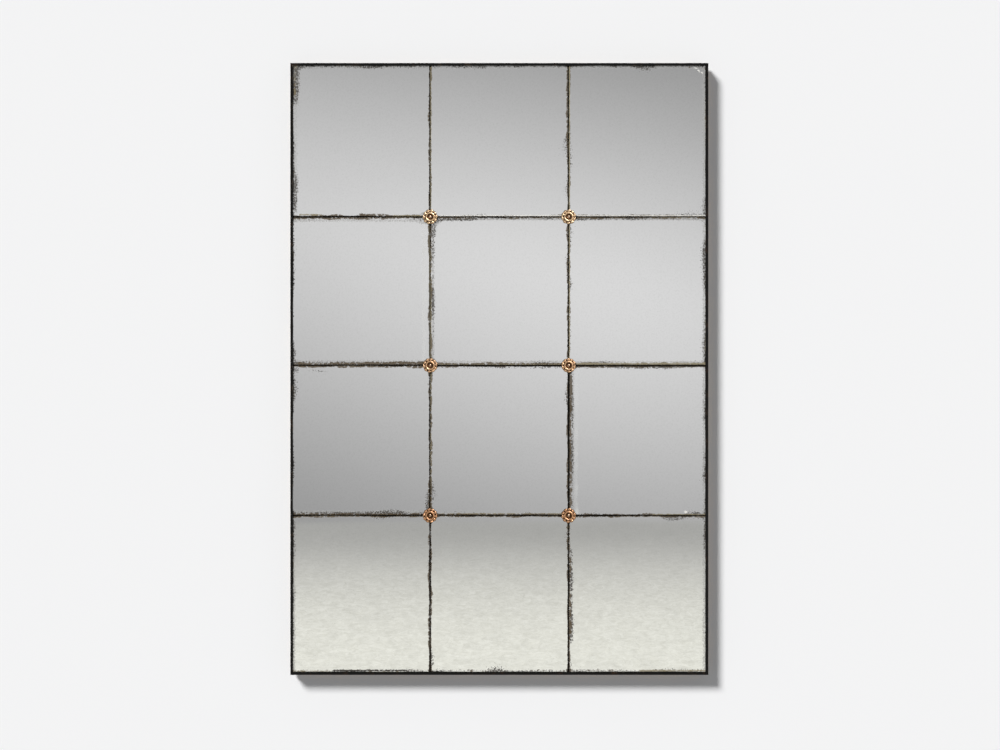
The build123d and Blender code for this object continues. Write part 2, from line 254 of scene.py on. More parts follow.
@dataclass(frozen=True)
class ForgedIron:
    """Wrought iron, drawn out hot under the hammer, then oiled and left black.

    To the eye: almost black with a soft satin sheen that breaks over shallow hammer
    facets, and a breath of brown where the oil has worn off.
    """

    name: str = "wrought_iron_oiled_black"
    scale: str = "#100F0E"
    worn: str = "#2E2118"
    rubbed: str = "#7A7264"
    facet: float = 14.0
    grit: float = 1.6
    wear_patch: float = 22.0

    def material(self) -> bpy.types.Material:
        """Builds the hammered black skin with its worn and its rubbed places.

        Returns:
            The material.
        """
        made, shader = start_material(self.name)
        tree = made.node_tree
        place = add_node(tree, "ShaderNodeTexCoord").outputs["Object"]
        facets = add_node(
            tree,
            "ShaderNodeTexVoronoi",
            {"Vector": place, "Scale": per_metre(self.facet), "Smoothness": 0.7},
            feature="SMOOTH_F1",
        )
        grit = add_node(
            tree, "ShaderNodeTexNoise",
            {"Vector": place, "Scale": per_metre(self.grit), "Detail": 4.0},
        )
        patches = add_node(
            tree, "ShaderNodeTexNoise",
            {"Vector": place, "Scale": per_metre(self.wear_patch), "Detail": 5.0, "Roughness": 0.65},
        )
        worn = add_node(
            tree, "ShaderNodeMapRange",
            {"Value": patches.outputs["Fac"], "From Min": 0.55, "From Max": 0.72},
            interpolation_type="SMOOTHSTEP",
        )
        colour = add_node(
            tree, "ShaderNodeMix",
            {MIX_FACTOR: worn.outputs["Result"], MIX_A: linear(self.scale), MIX_B: linear(self.worn)},
            data_type="RGBA",
        )
        rubbed = add_node(tree, "ShaderNodeAttribute", attribute_name="rubbed")
        thin = add_node(
            tree, "ShaderNodeMath",
            {0: patches.outputs["Fac"], 1: 1.2, 2: rubbed.outputs["Fac"]}, operation="MULTIPLY_ADD",
        )
        bare = add_node(
            tree, "ShaderNodeMapRange",
            {"Value": thin.outputs["Value"], "From Min": 1.0, "From Max": 1.5, "To Max": 0.9},
            interpolation_type="SMOOTHSTEP",
        )
        colour = add_node(
            tree, "ShaderNodeMix",
            {
                MIX_FACTOR: bare.outputs["Result"],
                MIX_A: colour.outputs[MIX_COLOUR],
                MIX_B: linear(self.rubbed),
            },
            data_type="RGBA",
        )
        gloss = add_node(
            tree, "ShaderNodeMapRange",
            {"Value": grit.outputs["Fac"], "From Min": 0.3, "From Max": 0.7, "To Min": 0.38, "To Max": 0.6},
        )
        dents = add_node(
            tree, "ShaderNodeBump",
            {"Height": facets.outputs["Distance"], "Strength": 0.5, "Distance": 0.0008},
        )
        grain = add_node(
            tree, "ShaderNodeBump",
            {
                "Height": grit.outputs["Fac"], "Strength": 0.35, "Distance": 0.0003,
                "Normal": dents.outputs["Normal"],
            },
        )
        tree.links.new(colour.outputs[MIX_COLOUR], shader.inputs["Base Color"])
        tree.links.new(gloss.outputs["Result"], shader.inputs["Roughness"])
        tree.links.new(grain.outputs["Normal"], shader.inputs["Normal"])
        shader.inputs["Metallic"].default_value = 0.3
        shader.inputs["Specular IOR Level"].default_value = 0.3
        return made


@dataclass(frozen=True)
class AntiquedMirror:
    """Silvered glass, aged by hand from the back so that the silver fails at the edges.

    To the eye: a clear, faintly waved reflection that turns milky near the joints, with
    black and brown specks, tan streaks that are partly a painted sheen on the arrises, pale
    painted highlights on some arrises, a painted reflection of the floor's nap low down and a
    blackened rim. The stains and the painted marks lie behind the glass, so they keep its gloss.
    """

    name: str = "antiqued_silvered_glass"
    silver: str = "#F0F0F0"
    grain_tone: str = "#C9C9C7"
    grain: float = 4.0
    wave: float = 95.0
    nap_reflection_tone: str = "#B4B3AC"
    # Painted reflection of the floor's nap on the lowest row: a real nap is far finer, so its streaks are
    # drawn coarser so that they show
    nap_reflection_size: float = 7.0
    nap_reflection_stretch: tuple[float, float, float] = (0.35, 1.0, 1.0)
    rare: float = 0.8

    def stain_mask(
        self,
        tree: bpy.types.NodeTree,
        place: bpy.types.NodeSocket,
        tone: Tone,
        look: ToneLook,
    ) -> bpy.types.NodeSocket:
        """Breaks a tone's painted strength up into patches.

        Args:
            tree: The material's nodes.
            place: The coordinates of the pattern.
            tone: The tone, whose attribute holds its strength.
            look: How the tone looks.

        Returns:
            The tone's mask, 0 to the share that it hides.
        """
        strength = add_node(tree, "ShaderNodeAttribute", attribute_name=tone.value)
        pattern = add_node(
            tree, "ShaderNodeTexNoise",
            {
                "Vector": place, "W": look.patch, "Scale": per_metre(look.patch),
                "Detail": look.detail, "Roughness": 0.6,
            },
            noise_dimensions="4D",
        )
        shifted = add_node(
            tree, "ShaderNodeMath",
            {0: pattern.outputs["Fac"], 1: look.spread, 2: strength.outputs["Fac"]},
            operation="MULTIPLY_ADD",
        )
        bare = self.rare * look.spread
        mask = add_node(
            tree, "ShaderNodeMapRange",
            {
                "Value": shifted.outputs["Value"], "From Min": bare, "From Max": bare + 2 * look.edge,
                "To Max": look.cover,
            },
            interpolation_type="SMOOTHSTEP",
        )
        return mask.outputs["Result"]

    def material(self) -> bpy.types.Material:
        """Lays the stains and the painted highlights over the silver, all of them behind the gloss of the
        glass.

        Returns:
            The material.
        """
        made, shader = start_material(self.name)
        tree = made.node_tree
        place = add_node(tree, "ShaderNodeTexCoord").outputs["Object"]
        masks = {
            tone: self.stain_mask(tree, place, tone, look) for tone, look in TONE_LOOKS.items()
        }
        colour = self.silver_colour(tree, place)
        metal: bpy.types.NodeSocket | float = 1.0
        for tone, mask in masks.items():
            colour = add_node(
                tree, "ShaderNodeMix",
                {MIX_FACTOR: mask, MIX_A: colour, MIX_B: linear(TONE_LOOKS[tone].colour)},
                data_type="RGBA",
            ).outputs[MIX_COLOUR]
            bare = add_node(tree, "ShaderNodeMath", {0: 1.0, 1: mask}, operation="SUBTRACT")
            metal = add_node(
                tree, "ShaderNodeMath", {0: bare.outputs["Value"], 1: metal}, operation="MULTIPLY"
            ).outputs["Value"]
        gloss = add_node(
            tree, "ShaderNodeMapRange", {"Value": masks[Tone.HAZE], "To Min": 0.03, "To Max": 0.35}
        )
        swell = add_node(
            tree, "ShaderNodeTexNoise", {"Vector": place, "Scale": per_metre(self.wave), "Detail": 0.0}
        )
        waves = add_node(
            tree, "ShaderNodeBump",
            {"Height": swell.outputs["Fac"], "Strength": 1.0, "Distance": 0.00004},
        )
        tree.links.new(colour, shader.inputs["Base Color"])
        tree.links.new(metal, shader.inputs["Metallic"])
        tree.links.new(gloss.outputs["Result"], shader.inputs["Roughness"])
        tree.links.new(waves.outputs["Normal"], shader.inputs["Normal"])
        shader.inputs["Specular IOR Level"].default_value = 0.35
        return made

    def silver_colour(
        self, tree: bpy.types.NodeTree, place: bpy.types.NodeSocket
    ) -> bpy.types.NodeSocket:
        """Silver that varies a little with its grain, with a painted reflection of the floor's nap where that
        is stored.

        Args:
            tree: The material's nodes.
            place: The coordinates of the grain.

        Returns:
            The colour socket.
        """
        grain = add_node(
            tree, "ShaderNodeTexNoise",
            {"Vector": place, "Scale": per_metre(self.grain), "Detail": 2.0, "Roughness": 0.6},
        )
        share = add_node(
            tree, "ShaderNodeMapRange",
            {"Value": grain.outputs["Fac"], "From Min": 0.45, "From Max": 0.8, "To Max": 0.16},
        )
        silver = add_node(
            tree, "ShaderNodeMix",
            {
                MIX_FACTOR: share.outputs["Result"],
                MIX_A: linear(self.silver),
                MIX_B: linear(self.grain_tone),
            },
            data_type="RGBA",
        )
        stretched = add_node(
            tree, "ShaderNodeMapping", {"Vector": place, "Scale": self.nap_reflection_stretch}
        )
        # Fibrous streaks: a painted reflection of the floor's nap
        fibres = add_node(
            tree, "ShaderNodeTexNoise",
            {
                "Vector": stretched.outputs["Vector"], "Scale": per_metre(self.nap_reflection_size), "Detail": 3.0,
                "Roughness": 0.75, "Distortion": 1.2,
            },
        )
        line = add_node(
            tree, "ShaderNodeMapRange",
            {"Value": fibres.outputs["Fac"], "From Min": 0.32, "From Max": 0.66, "To Max": 0.34},
        )
        painted_nap_reflection = add_node(tree, "ShaderNodeAttribute", attribute_name="painted_nap_reflection")
        amount = add_node(
            tree, "ShaderNodeMath",
            {0: line.outputs["Result"], 1: painted_nap_reflection.outputs["Fac"]}, operation="MULTIPLY",
        )
        finished = add_node(
            tree, "ShaderNodeMix",
            {
                MIX_FACTOR: amount.outputs["Value"],
                MIX_A: silver.outputs[MIX_COLOUR],
                MIX_B: linear(self.nap_reflection_tone),
            },
            data_type="RGBA",
        )
        return finished.outputs[MIX_COLOUR]


@dataclass(frozen=True)
class AgedBrass:
    """Cast brass, tumbled and toned brown, then rubbed back on the high places.

    To the eye: warm gold on the petals and the ring, brown to red-brown in the hollows,
    with a fine uneven satin gloss.
    """

    name: str
    bright: str
    toned: str = "#62462E"
    hollows: str = "hollow"
    patch: float = 5.0
    grain: float = 0.9

    def material(self) -> bpy.types.Material:
        """Builds the rubbed metal, whose toning follows the stored hollows.

        Returns:
            The material.
        """
        made, shader = start_material(self.name)
        tree = made.node_tree
        place = add_node(tree, "ShaderNodeTexCoord").outputs["Object"]
        hollow = add_node(tree, "ShaderNodeAttribute", attribute_name=self.hollows).outputs["Fac"]
        patches = add_node(
            tree, "ShaderNodeTexNoise",
            {"Vector": place, "Scale": per_metre(self.patch), "Detail": 4.0, "Roughness": 0.6},
        )
        grain = add_node(
            tree, "ShaderNodeTexNoise", {"Vector": place, "Scale": per_metre(self.grain), "Detail": 2.0}
        )
        depth = add_node(
            tree, "ShaderNodeMath",
            {0: patches.outputs["Fac"], 1: 0.7, 2: hollow},
            operation="MULTIPLY_ADD",
        )
        toned = add_node(
            tree, "ShaderNodeMapRange",
            {"Value": depth.outputs["Value"], "From Min": 0.35, "From Max": 0.95},
            interpolation_type="SMOOTHSTEP",
        )
        colour = add_node(
            tree, "ShaderNodeMix",
            {MIX_FACTOR: toned.outputs["Result"], MIX_A: linear(self.bright), MIX_B: linear(self.toned)},
            data_type="RGBA",
        )
        gloss = add_node(
            tree, "ShaderNodeMapRange",
            {"Value": toned.outputs["Result"], "To Min": 0.36, "To Max": 0.6},
        )
        bump = add_node(
            tree, "ShaderNodeBump",
            {"Height": grain.outputs["Fac"], "Strength": 0.3, "Distance": 0.0002},
        )
        tree.links.new(colour.outputs[MIX_COLOUR], shader.inputs["Base Color"])
        tree.links.new(gloss.outputs["Result"], shader.inputs["Roughness"])
        tree.links.new(bump.outputs["Normal"], shader.inputs["Normal"])
        shader.inputs["Metallic"].default_value = 1.0
        return made


class Grain(Enum):
    """Which way a batten's wood grain runs, as the stretch of the pattern on each axis."""

    LEVEL = (0.04, 1.0, 1.0)
    UPRIGHT = (1.0, 1.0, 0.04)


@dataclass(frozen=True)
class Pine:
    """Planed pine batten, unfinished.

    To the eye: pale straw wood with long brown-orange growth lines and a few soft knots.
    """

    name: str
    grain: Grain
    early: str = "#DDBE8B"
    late: str = "#B98A52"
    knot: str = "#6E4420"
    line: float = 4.5
    pore: float = 0.8
    knot_pitch: float = 260.0

    def material(self) -> bpy.types.Material:
        """Builds growth lines, pores and knots that run with the batten.

        Returns:
            The material.
        """
        made, shader = start_material(self.name)
        tree = made.node_tree
        place = add_node(tree, "ShaderNodeTexCoord").outputs["Object"]
        along = add_node(
            tree, "ShaderNodeMapping", {"Vector": place, "Scale": self.grain.value}
        ).outputs["Vector"]
        sway = add_node(
            tree, "ShaderNodeTexNoise", {"Vector": along, "Scale": per_metre(self.line * 4), "Detail": 2.0}
        )
        lines = add_node(
            tree, "ShaderNodeTexNoise",
            {"Vector": along, "Scale": per_metre(self.line), "Detail": 3.0, "Distortion": 0.6},
        )
        pores = add_node(
            tree, "ShaderNodeTexNoise", {"Vector": along, "Scale": per_metre(self.pore), "Detail": 1.0}
        )
        mixed = add_node(
            tree, "ShaderNodeMath",
            {0: sway.outputs["Fac"], 1: 0.6, 2: lines.outputs["Fac"]},
            operation="MULTIPLY_ADD",
        )
        rings = add_node(
            tree, "ShaderNodeMapRange",
            {"Value": mixed.outputs["Value"], "From Min": 0.66, "From Max": 0.95},
            interpolation_type="SMOOTHSTEP",
        )
        wood = add_node(
            tree, "ShaderNodeMix",
            {MIX_FACTOR: rings.outputs["Result"], MIX_A: linear(self.early), MIX_B: linear(self.late)},
            data_type="RGBA",
        )
        spots = add_node(
            tree, "ShaderNodeTexVoronoi", {"Vector": place, "Scale": per_metre(self.knot_pitch)}
        )
        knots = add_node(
            tree, "ShaderNodeMapRange",
            {"Value": spots.outputs["Distance"], "From Min": 0.05, "From Max": 0.02},
            interpolation_type="SMOOTHSTEP",
        )
        colour = add_node(
            tree, "ShaderNodeMix",
            {
                MIX_FACTOR: knots.outputs["Result"],
                MIX_A: wood.outputs[MIX_COLOUR],
                MIX_B: linear(self.knot),
            },
            data_type="RGBA",
        )
        gloss = add_node(
            tree, "ShaderNodeMapRange",
            {"Value": rings.outputs["Result"], "To Min": 0.62, "To Max": 0.5},
        )
        bump = add_node(
            tree, "ShaderNodeBump",
            {"Height": pores.outputs["Fac"], "Strength": 0.3, "Distance": 0.0003},
        )
        tree.links.new(colour.outputs[MIX_COLOUR], shader.inputs["Base Color"])
        tree.links.new(gloss.outputs["Result"], shader.inputs["Roughness"])
        tree.links.new(bump.outputs["Normal"], shader.inputs["Normal"])
        return made


@dataclass(frozen=True)
class Grained:
    """A plain material with two tones in patches, a grain and a gloss that follows it."""

    name: str
    tone: str
    second: str
    patch: float
    grain: float
    gloss: tuple[float, float]
    relief: float
    metallic: float = 0.0

    def material(self) -> bpy.types.Material:
        """Builds the two tones, the grain and the relief.

        Returns:
            The material.
        """
        made, shader = start_material(self.name)
        tree = made.node_tree
        place = add_node(tree, "ShaderNodeTexCoord").outputs["Object"]
        patches = add_node(
            tree, "ShaderNodeTexNoise",
            {"Vector": place, "Scale": per_metre(self.patch), "Detail": 4.0, "Roughness": 0.6},
        )
        grain = add_node(
            tree, "ShaderNodeTexNoise",
            {"Vector": place, "Scale": per_metre(self.grain), "Detail": 3.0, "Roughness": 0.6},
        )
        share = add_node(
            tree, "ShaderNodeMapRange",
            {"Value": patches.outputs["Fac"], "From Min": 0.38, "From Max": 0.62},
            interpolation_type="SMOOTHSTEP",
        )
        colour = add_node(
            tree, "ShaderNodeMix",
            {MIX_FACTOR: share.outputs["Result"], MIX_A: linear(self.tone), MIX_B: linear(self.second)},
            data_type="RGBA",
        )
        low, high = self.gloss
        gloss = add_node(
            tree, "ShaderNodeMapRange",
            {"Value": grain.outputs["Fac"], "From Min": 0.3, "From Max": 0.7, "To Min": low, "To Max": high},
        )
        bump = add_node(
            tree, "ShaderNodeBump",
            {"Height": grain.outputs["Fac"], "Strength": 0.5, "Distance": self.relief * MM},
        )
        tree.links.new(colour.outputs[MIX_COLOUR], shader.inputs["Base Color"])
        tree.links.new(gloss.outputs["Result"], shader.inputs["Roughness"])
        tree.links.new(bump.outputs["Normal"], shader.inputs["Normal"])
        shader.inputs["Metallic"].default_value = self.metallic
        return made


# Wool felt: matt dark fibres in soft clumps
FELT = Grained("wool_felt", "#2B2926", "#3B3732", 6.0, 0.6, (0.85, 1.0), 0.4)
# Mirror mastic: dull grey-beige paste with a slightly lumpy skin
MASTIC = Grained("mirror_mastic", "#8C857A", "#A39B8D", 9.0, 2.0, (0.5, 0.75), 0.5)
# Hardboard painted black: flat paint with the board's fine felted tooth
BOARD = Grained("hardboard_painted_black", "#191918", "#242322", 60.0, 1.4, (0.55, 0.8), 0.25)
# Zinc-plated steel: cool grey metal with faint cloudy passivation
ZINC = Grained("zinc_plated_steel", "#B7B9BC", "#9FA3A8", 7.0, 0.8, (0.26, 0.42), 0.05, 1.0)
# Moulded rubber: near-black, dull, with a fine matt skin
RUBBER = Grained("moulded_rubber", "#1C1C1D", "#262627", 5.0, 0.5, (0.6, 0.8), 0.08)


# Mirror panes

# The opening that the frame's lips leave, edge to edge
SIGHT_LOW = Vector((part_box("frame_stile_left")[1].x, 0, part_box("frame_rail_bottom")[1].z))
SIGHT_HIGH = Vector((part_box("frame_stile_right")[0].x, 0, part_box("frame_rail_top")[0].z))


@dataclass(frozen=True)
class Stroke:
    """One stain, or one painted highlight, brushed along a line on the silvering, in millimetres from the
    centre.
    """

    tone: Tone
    strength: float
    start: tuple[float, float]
    end: tuple[float, float]
    width: float

    def cover(self, x: float, z: float) -> float:
        """How strong the stain or the painted highlight is at a point.

        Args:
            x: The point's place across the mirror, in millimetres.
            z: Its height, in millimetres.

        Returns:
            The strength, 0 away from the stroke.
        """
        start = Vector(self.start)
        run = Vector(self.end) - start
        reach = Vector((x, z)) - start
        share = min(1.0, max(0.0, reach.dot(run) / run.length_squared))
        gap = (reach - run * share).length / self.width
        return self.strength * math.exp(-gap * gap)


# The stains that the real mirror shows, with a few painted highlights on arrises, from its top left corner to
# its bottom right one
STROKES = (
    Stroke(Tone.BROWN, 0.35, (-508, 752), (-508, 672), 6),
    Stroke(Tone.TAN, 0.45, (-508, 752), (-508, 680), 4.5),
    Stroke(Tone.SPECKS, 0.3, (-497, 750), (-503, 690), 9),
    Stroke(Tone.SMUDGE, 0.9, (-502, 750), (-504, 668), 9),
    Stroke(Tone.SPECKS, 0.8, (-506, 750), (-506, 668), 9),
    Stroke(Tone.BROWN, 0.5, (-509, 706), (-509, 688), 4),
    Stroke(Tone.SMUDGE, 0.6, (-506, 668), (-506, 392), 7),
    Stroke(Tone.SPECKS, 0.9, (-510, 471), (-510, 396), 8),
    Stroke(Tone.BLACK, 0.6, (-512, 471), (-512, 396), 4),
    Stroke(Tone.TAN, 1.0, (-514, 296), (-514, 267), 2),
    Stroke(Tone.SMUDGE, 0.7, (-516, 751), (516, 751), 5),
    Stroke(Tone.SPECKS, 0.35, (-516, 751), (516, 751), 4),
    # Tan lines beside the joints: partly tan patina, partly a painted sheen on the arrises
    Stroke(Tone.TAN, 1.0, (-170.6, 756), (-170.6, 382), 1.3),
    Stroke(Tone.TAN, 0.7, (-170.4, 300), (-170.4, -364), 1.3),
    Stroke(Tone.TAN, 0.6, (-174.6, 376), (-174.6, 12), 1.3),
    Stroke(Tone.SMUDGE, 0.6, (-163, 374), (-164, 300), 6),
    Stroke(Tone.SMUDGE, 0.8, (-165, 300), (-165, 12), 5),
    Stroke(Tone.SPECKS, 0.6, (-164, 340), (-164, 12), 5),
    Stroke(Tone.HAZE, 0.8, (-188, 374), (-188, 12), 8),
    Stroke(Tone.SMUDGE, 0.6, (-158, 370), (-160, 345), 7),
    Stroke(Tone.SPECKS, 0.35, (-160, 368), (-161, 340), 8),
    Stroke(Tone.SPECKS, 0.8, (-150, 370), (-60, 372), 4),
    Stroke(Tone.SMUDGE, 0.8, (-196, 366), (-150, 366), 8),
    Stroke(Tone.TAN, 1.0, (174.7, 756), (174.7, 12), 1.4),
    Stroke(Tone.BLACK, 0.7, (173.8, 6), (173.8, -362), 2.6),
    Stroke(Tone.BROWN, 1.15, (176.2, 4), (176.2, -362), 4.4),
    Stroke(Tone.BROWN, 0.5, (180, -20), (180, -110), 4),
    Stroke(Tone.BROWN, 0.5, (179, -240), (179, -330), 4),
    Stroke(Tone.SPECKS, 0.7, (182, 4), (182, -362), 4),
    Stroke(Tone.SMUDGE, 0.8, (184, 0), (184, -362), 5),
    Stroke(Tone.HAZE, 0.7, (192, 0), (192, -362), 8),
    Stroke(Tone.TAN, 0.95, (-499, 384.5), (-447, 384.5), 2.4),
    Stroke(Tone.BROWN, 0.75, (-347, 385), (-287, 385), 4.5),
    Stroke(Tone.BROWN, 0.55, (-516, 374), (-248, 374), 4),
    Stroke(Tone.SMUDGE, 0.8, (-516, 369), (-185, 369), 5),
    Stroke(Tone.SMUDGE, 1.0, (-196, 385), (-190, 388), 5),
    Stroke(Tone.TAN, 0.8, (-260, 382), (-180, 382), 2),
    # Painted highlight along the arris above the joint, right of the rosette
    Stroke(Tone.PALE, 1.0, (-150, 381.6), (516, 381.6), 1.5),
    Stroke(Tone.SMUDGE, 0.9, (-150, 373), (516, 373), 4.5),
    Stroke(Tone.SPECKS, 0.6, (-150, 374), (516, 374), 3),
    Stroke(Tone.BROWN, 0.9, (-516, 12), (-180, 12), 3.4),
    Stroke(Tone.BROWN, 0.8, (-420, 14), (-390, 14), 4),
    Stroke(Tone.BROWN, 0.8, (-345, 15), (-190, 15), 5),
    Stroke(Tone.BROWN, 0.5, (-500, 17), (-470, 22), 6),
    Stroke(Tone.SPECKS, 0.8, (-505, -2), (-500, -4), 4),
    Stroke(Tone.SPECKS, 0.8, (-470, -4), (-430, -8), 5),
    Stroke(Tone.BLACK, 0.5, (-512, -40), (-506, -55), 4),
    Stroke(Tone.SPECKS, 0.75, (-516, 16), (-180, 16), 4.5),
    Stroke(Tone.SMUDGE, 0.8, (-516, 19), (-180, 19), 6),
    Stroke(Tone.BROWN, 0.5, (-516, 5), (-180, 5), 3),
    Stroke(Tone.TAN, 1.0, (180, 13.0), (516, 13.0), 2.8),
    Stroke(Tone.SMUDGE, 0.8, (180, 18), (516, 18), 4),
    Stroke(Tone.BROWN, 0.7, (180, 15.5), (516, 15.5), 2.2),
    Stroke(Tone.BROWN, 0.6, (180, 5.5), (516, 5.5), 2.5),
    Stroke(Tone.BROWN, 0.8, (-165, 13.5), (165, 13.5), 3),
    Stroke(Tone.SMUDGE, 0.8, (-165, 18), (165, 18), 5),
    Stroke(Tone.TAN, 0.7, (-165, 11.6), (165, 11.6), 1.5),
    Stroke(Tone.BLACK, 0.6, (-165, 6.5), (516, 6.5), 2),
    Stroke(Tone.SPECKS, 0.5, (-165, 3), (516, 3), 3),
    Stroke(Tone.BROWN, 0.9, (-516, -362.5), (-240, -362.5), 3),
    Stroke(Tone.SPECKS, 0.8, (-516, -358), (-240, -358), 3.6),
    Stroke(Tone.SMUDGE, 0.8, (-516, -356), (-200, -356), 6),
    Stroke(Tone.BROWN, 0.6, (-470, -368.5), (-400, -368.5), 3),
    Stroke(Tone.BROWN, 0.8, (-165, -361.5), (165, -361.5), 3),
    Stroke(Tone.TAN, 0.7, (-165, -360), (165, -360), 1.8),
    Stroke(Tone.SMUDGE, 0.5, (-165, -369), (516, -369), 4),
    Stroke(Tone.TAN, 0.95, (380, -362.6), (516, -362.6), 1.8),
    # A short painted highlight on an arris
    Stroke(Tone.PALE, 1.0, (463, -359), (468, -347), 1.3),
    Stroke(Tone.BLACK, 1.0, (478, -358), (500, -358), 1.8),
    Stroke(Tone.SPECKS, 0.6, (400, -372), (516, -372), 5),
    Stroke(Tone.SPECKS, 0.9, (514, -316), (514, -438), 3.5),
    Stroke(Tone.SMUDGE, 0.65, (509, 756), (509, -756), 6),
    Stroke(Tone.BROWN, 0.7, (-515, -400), (-515, -540), 3),
    Stroke(Tone.SMUDGE, 0.6, (-511, -376), (-511, -756), 5),
    Stroke(Tone.BROWN, 0.9, (176, -470), (177, -500), 4),
    Stroke(Tone.BROWN, 0.9, (177, -560), (177, -660), 4.5),
    Stroke(Tone.SPECKS, 0.8, (180, -450), (180, -680), 5),
    Stroke(Tone.BLACK, 0.62, (-512, -752), (512, -752), 3.4),
    Stroke(Tone.BROWN, 0.55, (-512, -750), (512, -750), 4),
    Stroke(Tone.BLACK, 0.5, (-409, -751), (-235, -751), 3.5),
    Stroke(Tone.TAN, 0.7, (-512, -752), (-420, -752), 1.4),
    Stroke(Tone.TAN, 1.0, (350, -751.5), (512, -751.5), 2.2),
    Stroke(Tone.SPECKS, 0.7, (380, -749), (500, -749), 3),
    # A painted highlight near the top right corner
    Stroke(Tone.PALE, 1.1, (489, 750), (510, 734), 1.7),
    Stroke(Tone.BROWN, 0.5, (470, 750), (511, 750), 4),
)


@dataclass
class Pane:
    """One antiqued pane, cut by hand, with arrised edges and clipped corners at the rosettes.

    The patches are the sizes in millimetres of the patterns that the wear follows, and the
    fades say how far from an edge, in millimetres, each stain has thinned out.
    """

    node: str
    arris: float = 1.2 * MM
    corner_clip: float = 3.5 * MM
    rim: tuple[float, ...] = (2.4, 3.8, 5.6, 8.0, 11.0, 15.0, 20.0, 26.0)
    pitch: float = 9 * MM
    hand_cut: float = 0.12 * MM
    cut_patch: float = 30.0
    tilt_degrees: float = 0.04
    tilt_patch: float = 170.0
    stroke_margin: float = 30.0
    shine_clears: float = 0.8
    lively_patch: float = 34.0
    slow_patch: float = 120.0
    lump_patch: float = 42.0
    cluster_patch: float = 65.0
    haze_fade: float = 12.0
    smudge_fade: float = 6.0
    speck_fade: float = 4.0
    brown_fade: float = 4.0
    tan_fade: float = 3.0
    black_fade: float = 1.8
    rim_width: float = 1.3
    lump_width: float = 7.0
    nap_reflection_from: float = -370.0
    nap_reflection_fade: float = 190.0
    low: Vector = field(init=False)
    high: Vector = field(init=False)

    def __post_init__(self) -> None:
        """Takes the pane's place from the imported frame."""
        self.low, self.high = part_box(self.node)

    def build(self, finish: bpy.types.Material) -> bpy.types.Object:
        """Models the pane and paints its stains.

        Args:
            finish: The mirror's material.

        Returns:
            The finished piece.
        """
        middle = (self.low + self.high) / 2
        size = self.high - self.low
        build = bmesh.new()
        filled = Matrix.Translation(middle) @ Matrix.Diagonal((*size, 1))
        bmesh.ops.create_cube(build, size=1.0, matrix=filled)
        self.clip_corners(build)
        self.cut_arrises(build)
        slice_mesh(build, self.places(self.low.x, self.high.x), Vector((1, 0, 0)))
        slice_mesh(build, self.places(self.low.z, self.high.z), Vector((0, 0, 1)))
        self.loosen(build, middle)
        self.stain(build)
        return keep_piece(build, f"antiqued_{self.node}", finish, self.node)

    def clip_corners(self, build: bmesh.types.BMesh) -> None:
        """Clips the corners that a rosette's screw passes, away from the frame.

        Args:
            build: The pane's mesh.
        """
        corners = [
            edge
            for edge in build.edges
            if (edge.verts[0].co - edge.verts[1].co).cross(FRONT).length < SAME
            and self.near_rosette(edge.verts[0].co)
        ]
        bmesh.ops.bevel(
            build, geom=corners, offset=self.corner_clip, affect="EDGES", segments=1, profile=0.5, material=-1
        )

    def near_rosette(self, corner: Vector) -> bool:
        """Whether a corner lies at one of the six crossings under a rosette."""
        reach = 2 * self.corner_clip
        return any((Vector((corner.x, 0, corner.z)) - place).length < reach for place in ROSETTE_PLACES)

    def cut_arrises(self, build: bmesh.types.BMesh) -> None:
        """Takes the sharp edge off all round the front face.

        Args:
            build: The pane's mesh.
        """
        rim = [
            edge
            for edge in build.edges
            if all(abs(corner.co.y - self.low.y) < SAME for corner in edge.verts)
        ]
        bmesh.ops.bevel(
            build, geom=rim, offset=self.arris, affect="EDGES", segments=1, profile=0.5, material=-1
        )

    def places(self, start: float, end: float) -> list[float]:
        """Where the pane is sliced: close together at its rim and wider in the middle.

        Args:
            start: The pane's lower limit on this axis.
            end: Its upper limit.

        Returns:
            The cuts' places, in metres.
        """
        near = [start + step * MM for step in self.rim]
        far = [end - step * MM for step in self.rim]
        count = math.ceil((far[-1] - near[-1]) / self.pitch)
        between = [near[-1] + (far[-1] - near[-1]) * step / count for step in range(1, count)]
        return near + between + far

    def loosen(self, build: bmesh.types.BMesh, middle: Vector) -> None:
        """Gives the pane its slightly uneven hand-cut outline and the small lean it was laid with.

        Args:
            build: The pane's mesh.
            middle: Its centre.
        """
        for corner in build.verts:
            drift = noise.noise_vector(corner.co * per_metre(self.cut_patch)) * self.hand_cut
            on_rim = self.edge_gap(corner.co) < self.arris / MM * 1.01
            if on_rim:
                # A corner at the very middle of an edge counts as left of it or below it
                inward = middle - corner.co
                corner.co.x += math.copysign(abs(drift.x), inward.x + SAME)
                corner.co.z += math.copysign(abs(drift.z), inward.z + SAME)
        steepest = 2 * math.radians(self.tilt_degrees)
        lean = noise.noise_vector(middle * per_metre(self.tilt_patch)) * steepest
        turn = Matrix.Rotation(lean.x, 4, "X") @ Matrix.Rotation(lean.z, 4, "Z")
        bmesh.ops.transform(
            build, matrix=turn, space=Matrix.Translation(-middle), verts=build.verts
        )

    def edge_gap(self, place: Vector) -> float:
        """The distance from a point to the pane's nearest edge.

        Args:
            place: The point.

        Returns:
            The distance in millimetres.
        """
        across = min(place.x - self.low.x, self.high.x - place.x)
        up = min(place.z - self.low.z, self.high.z - place.z)
        return max(0.0, min(across, up)) / MM

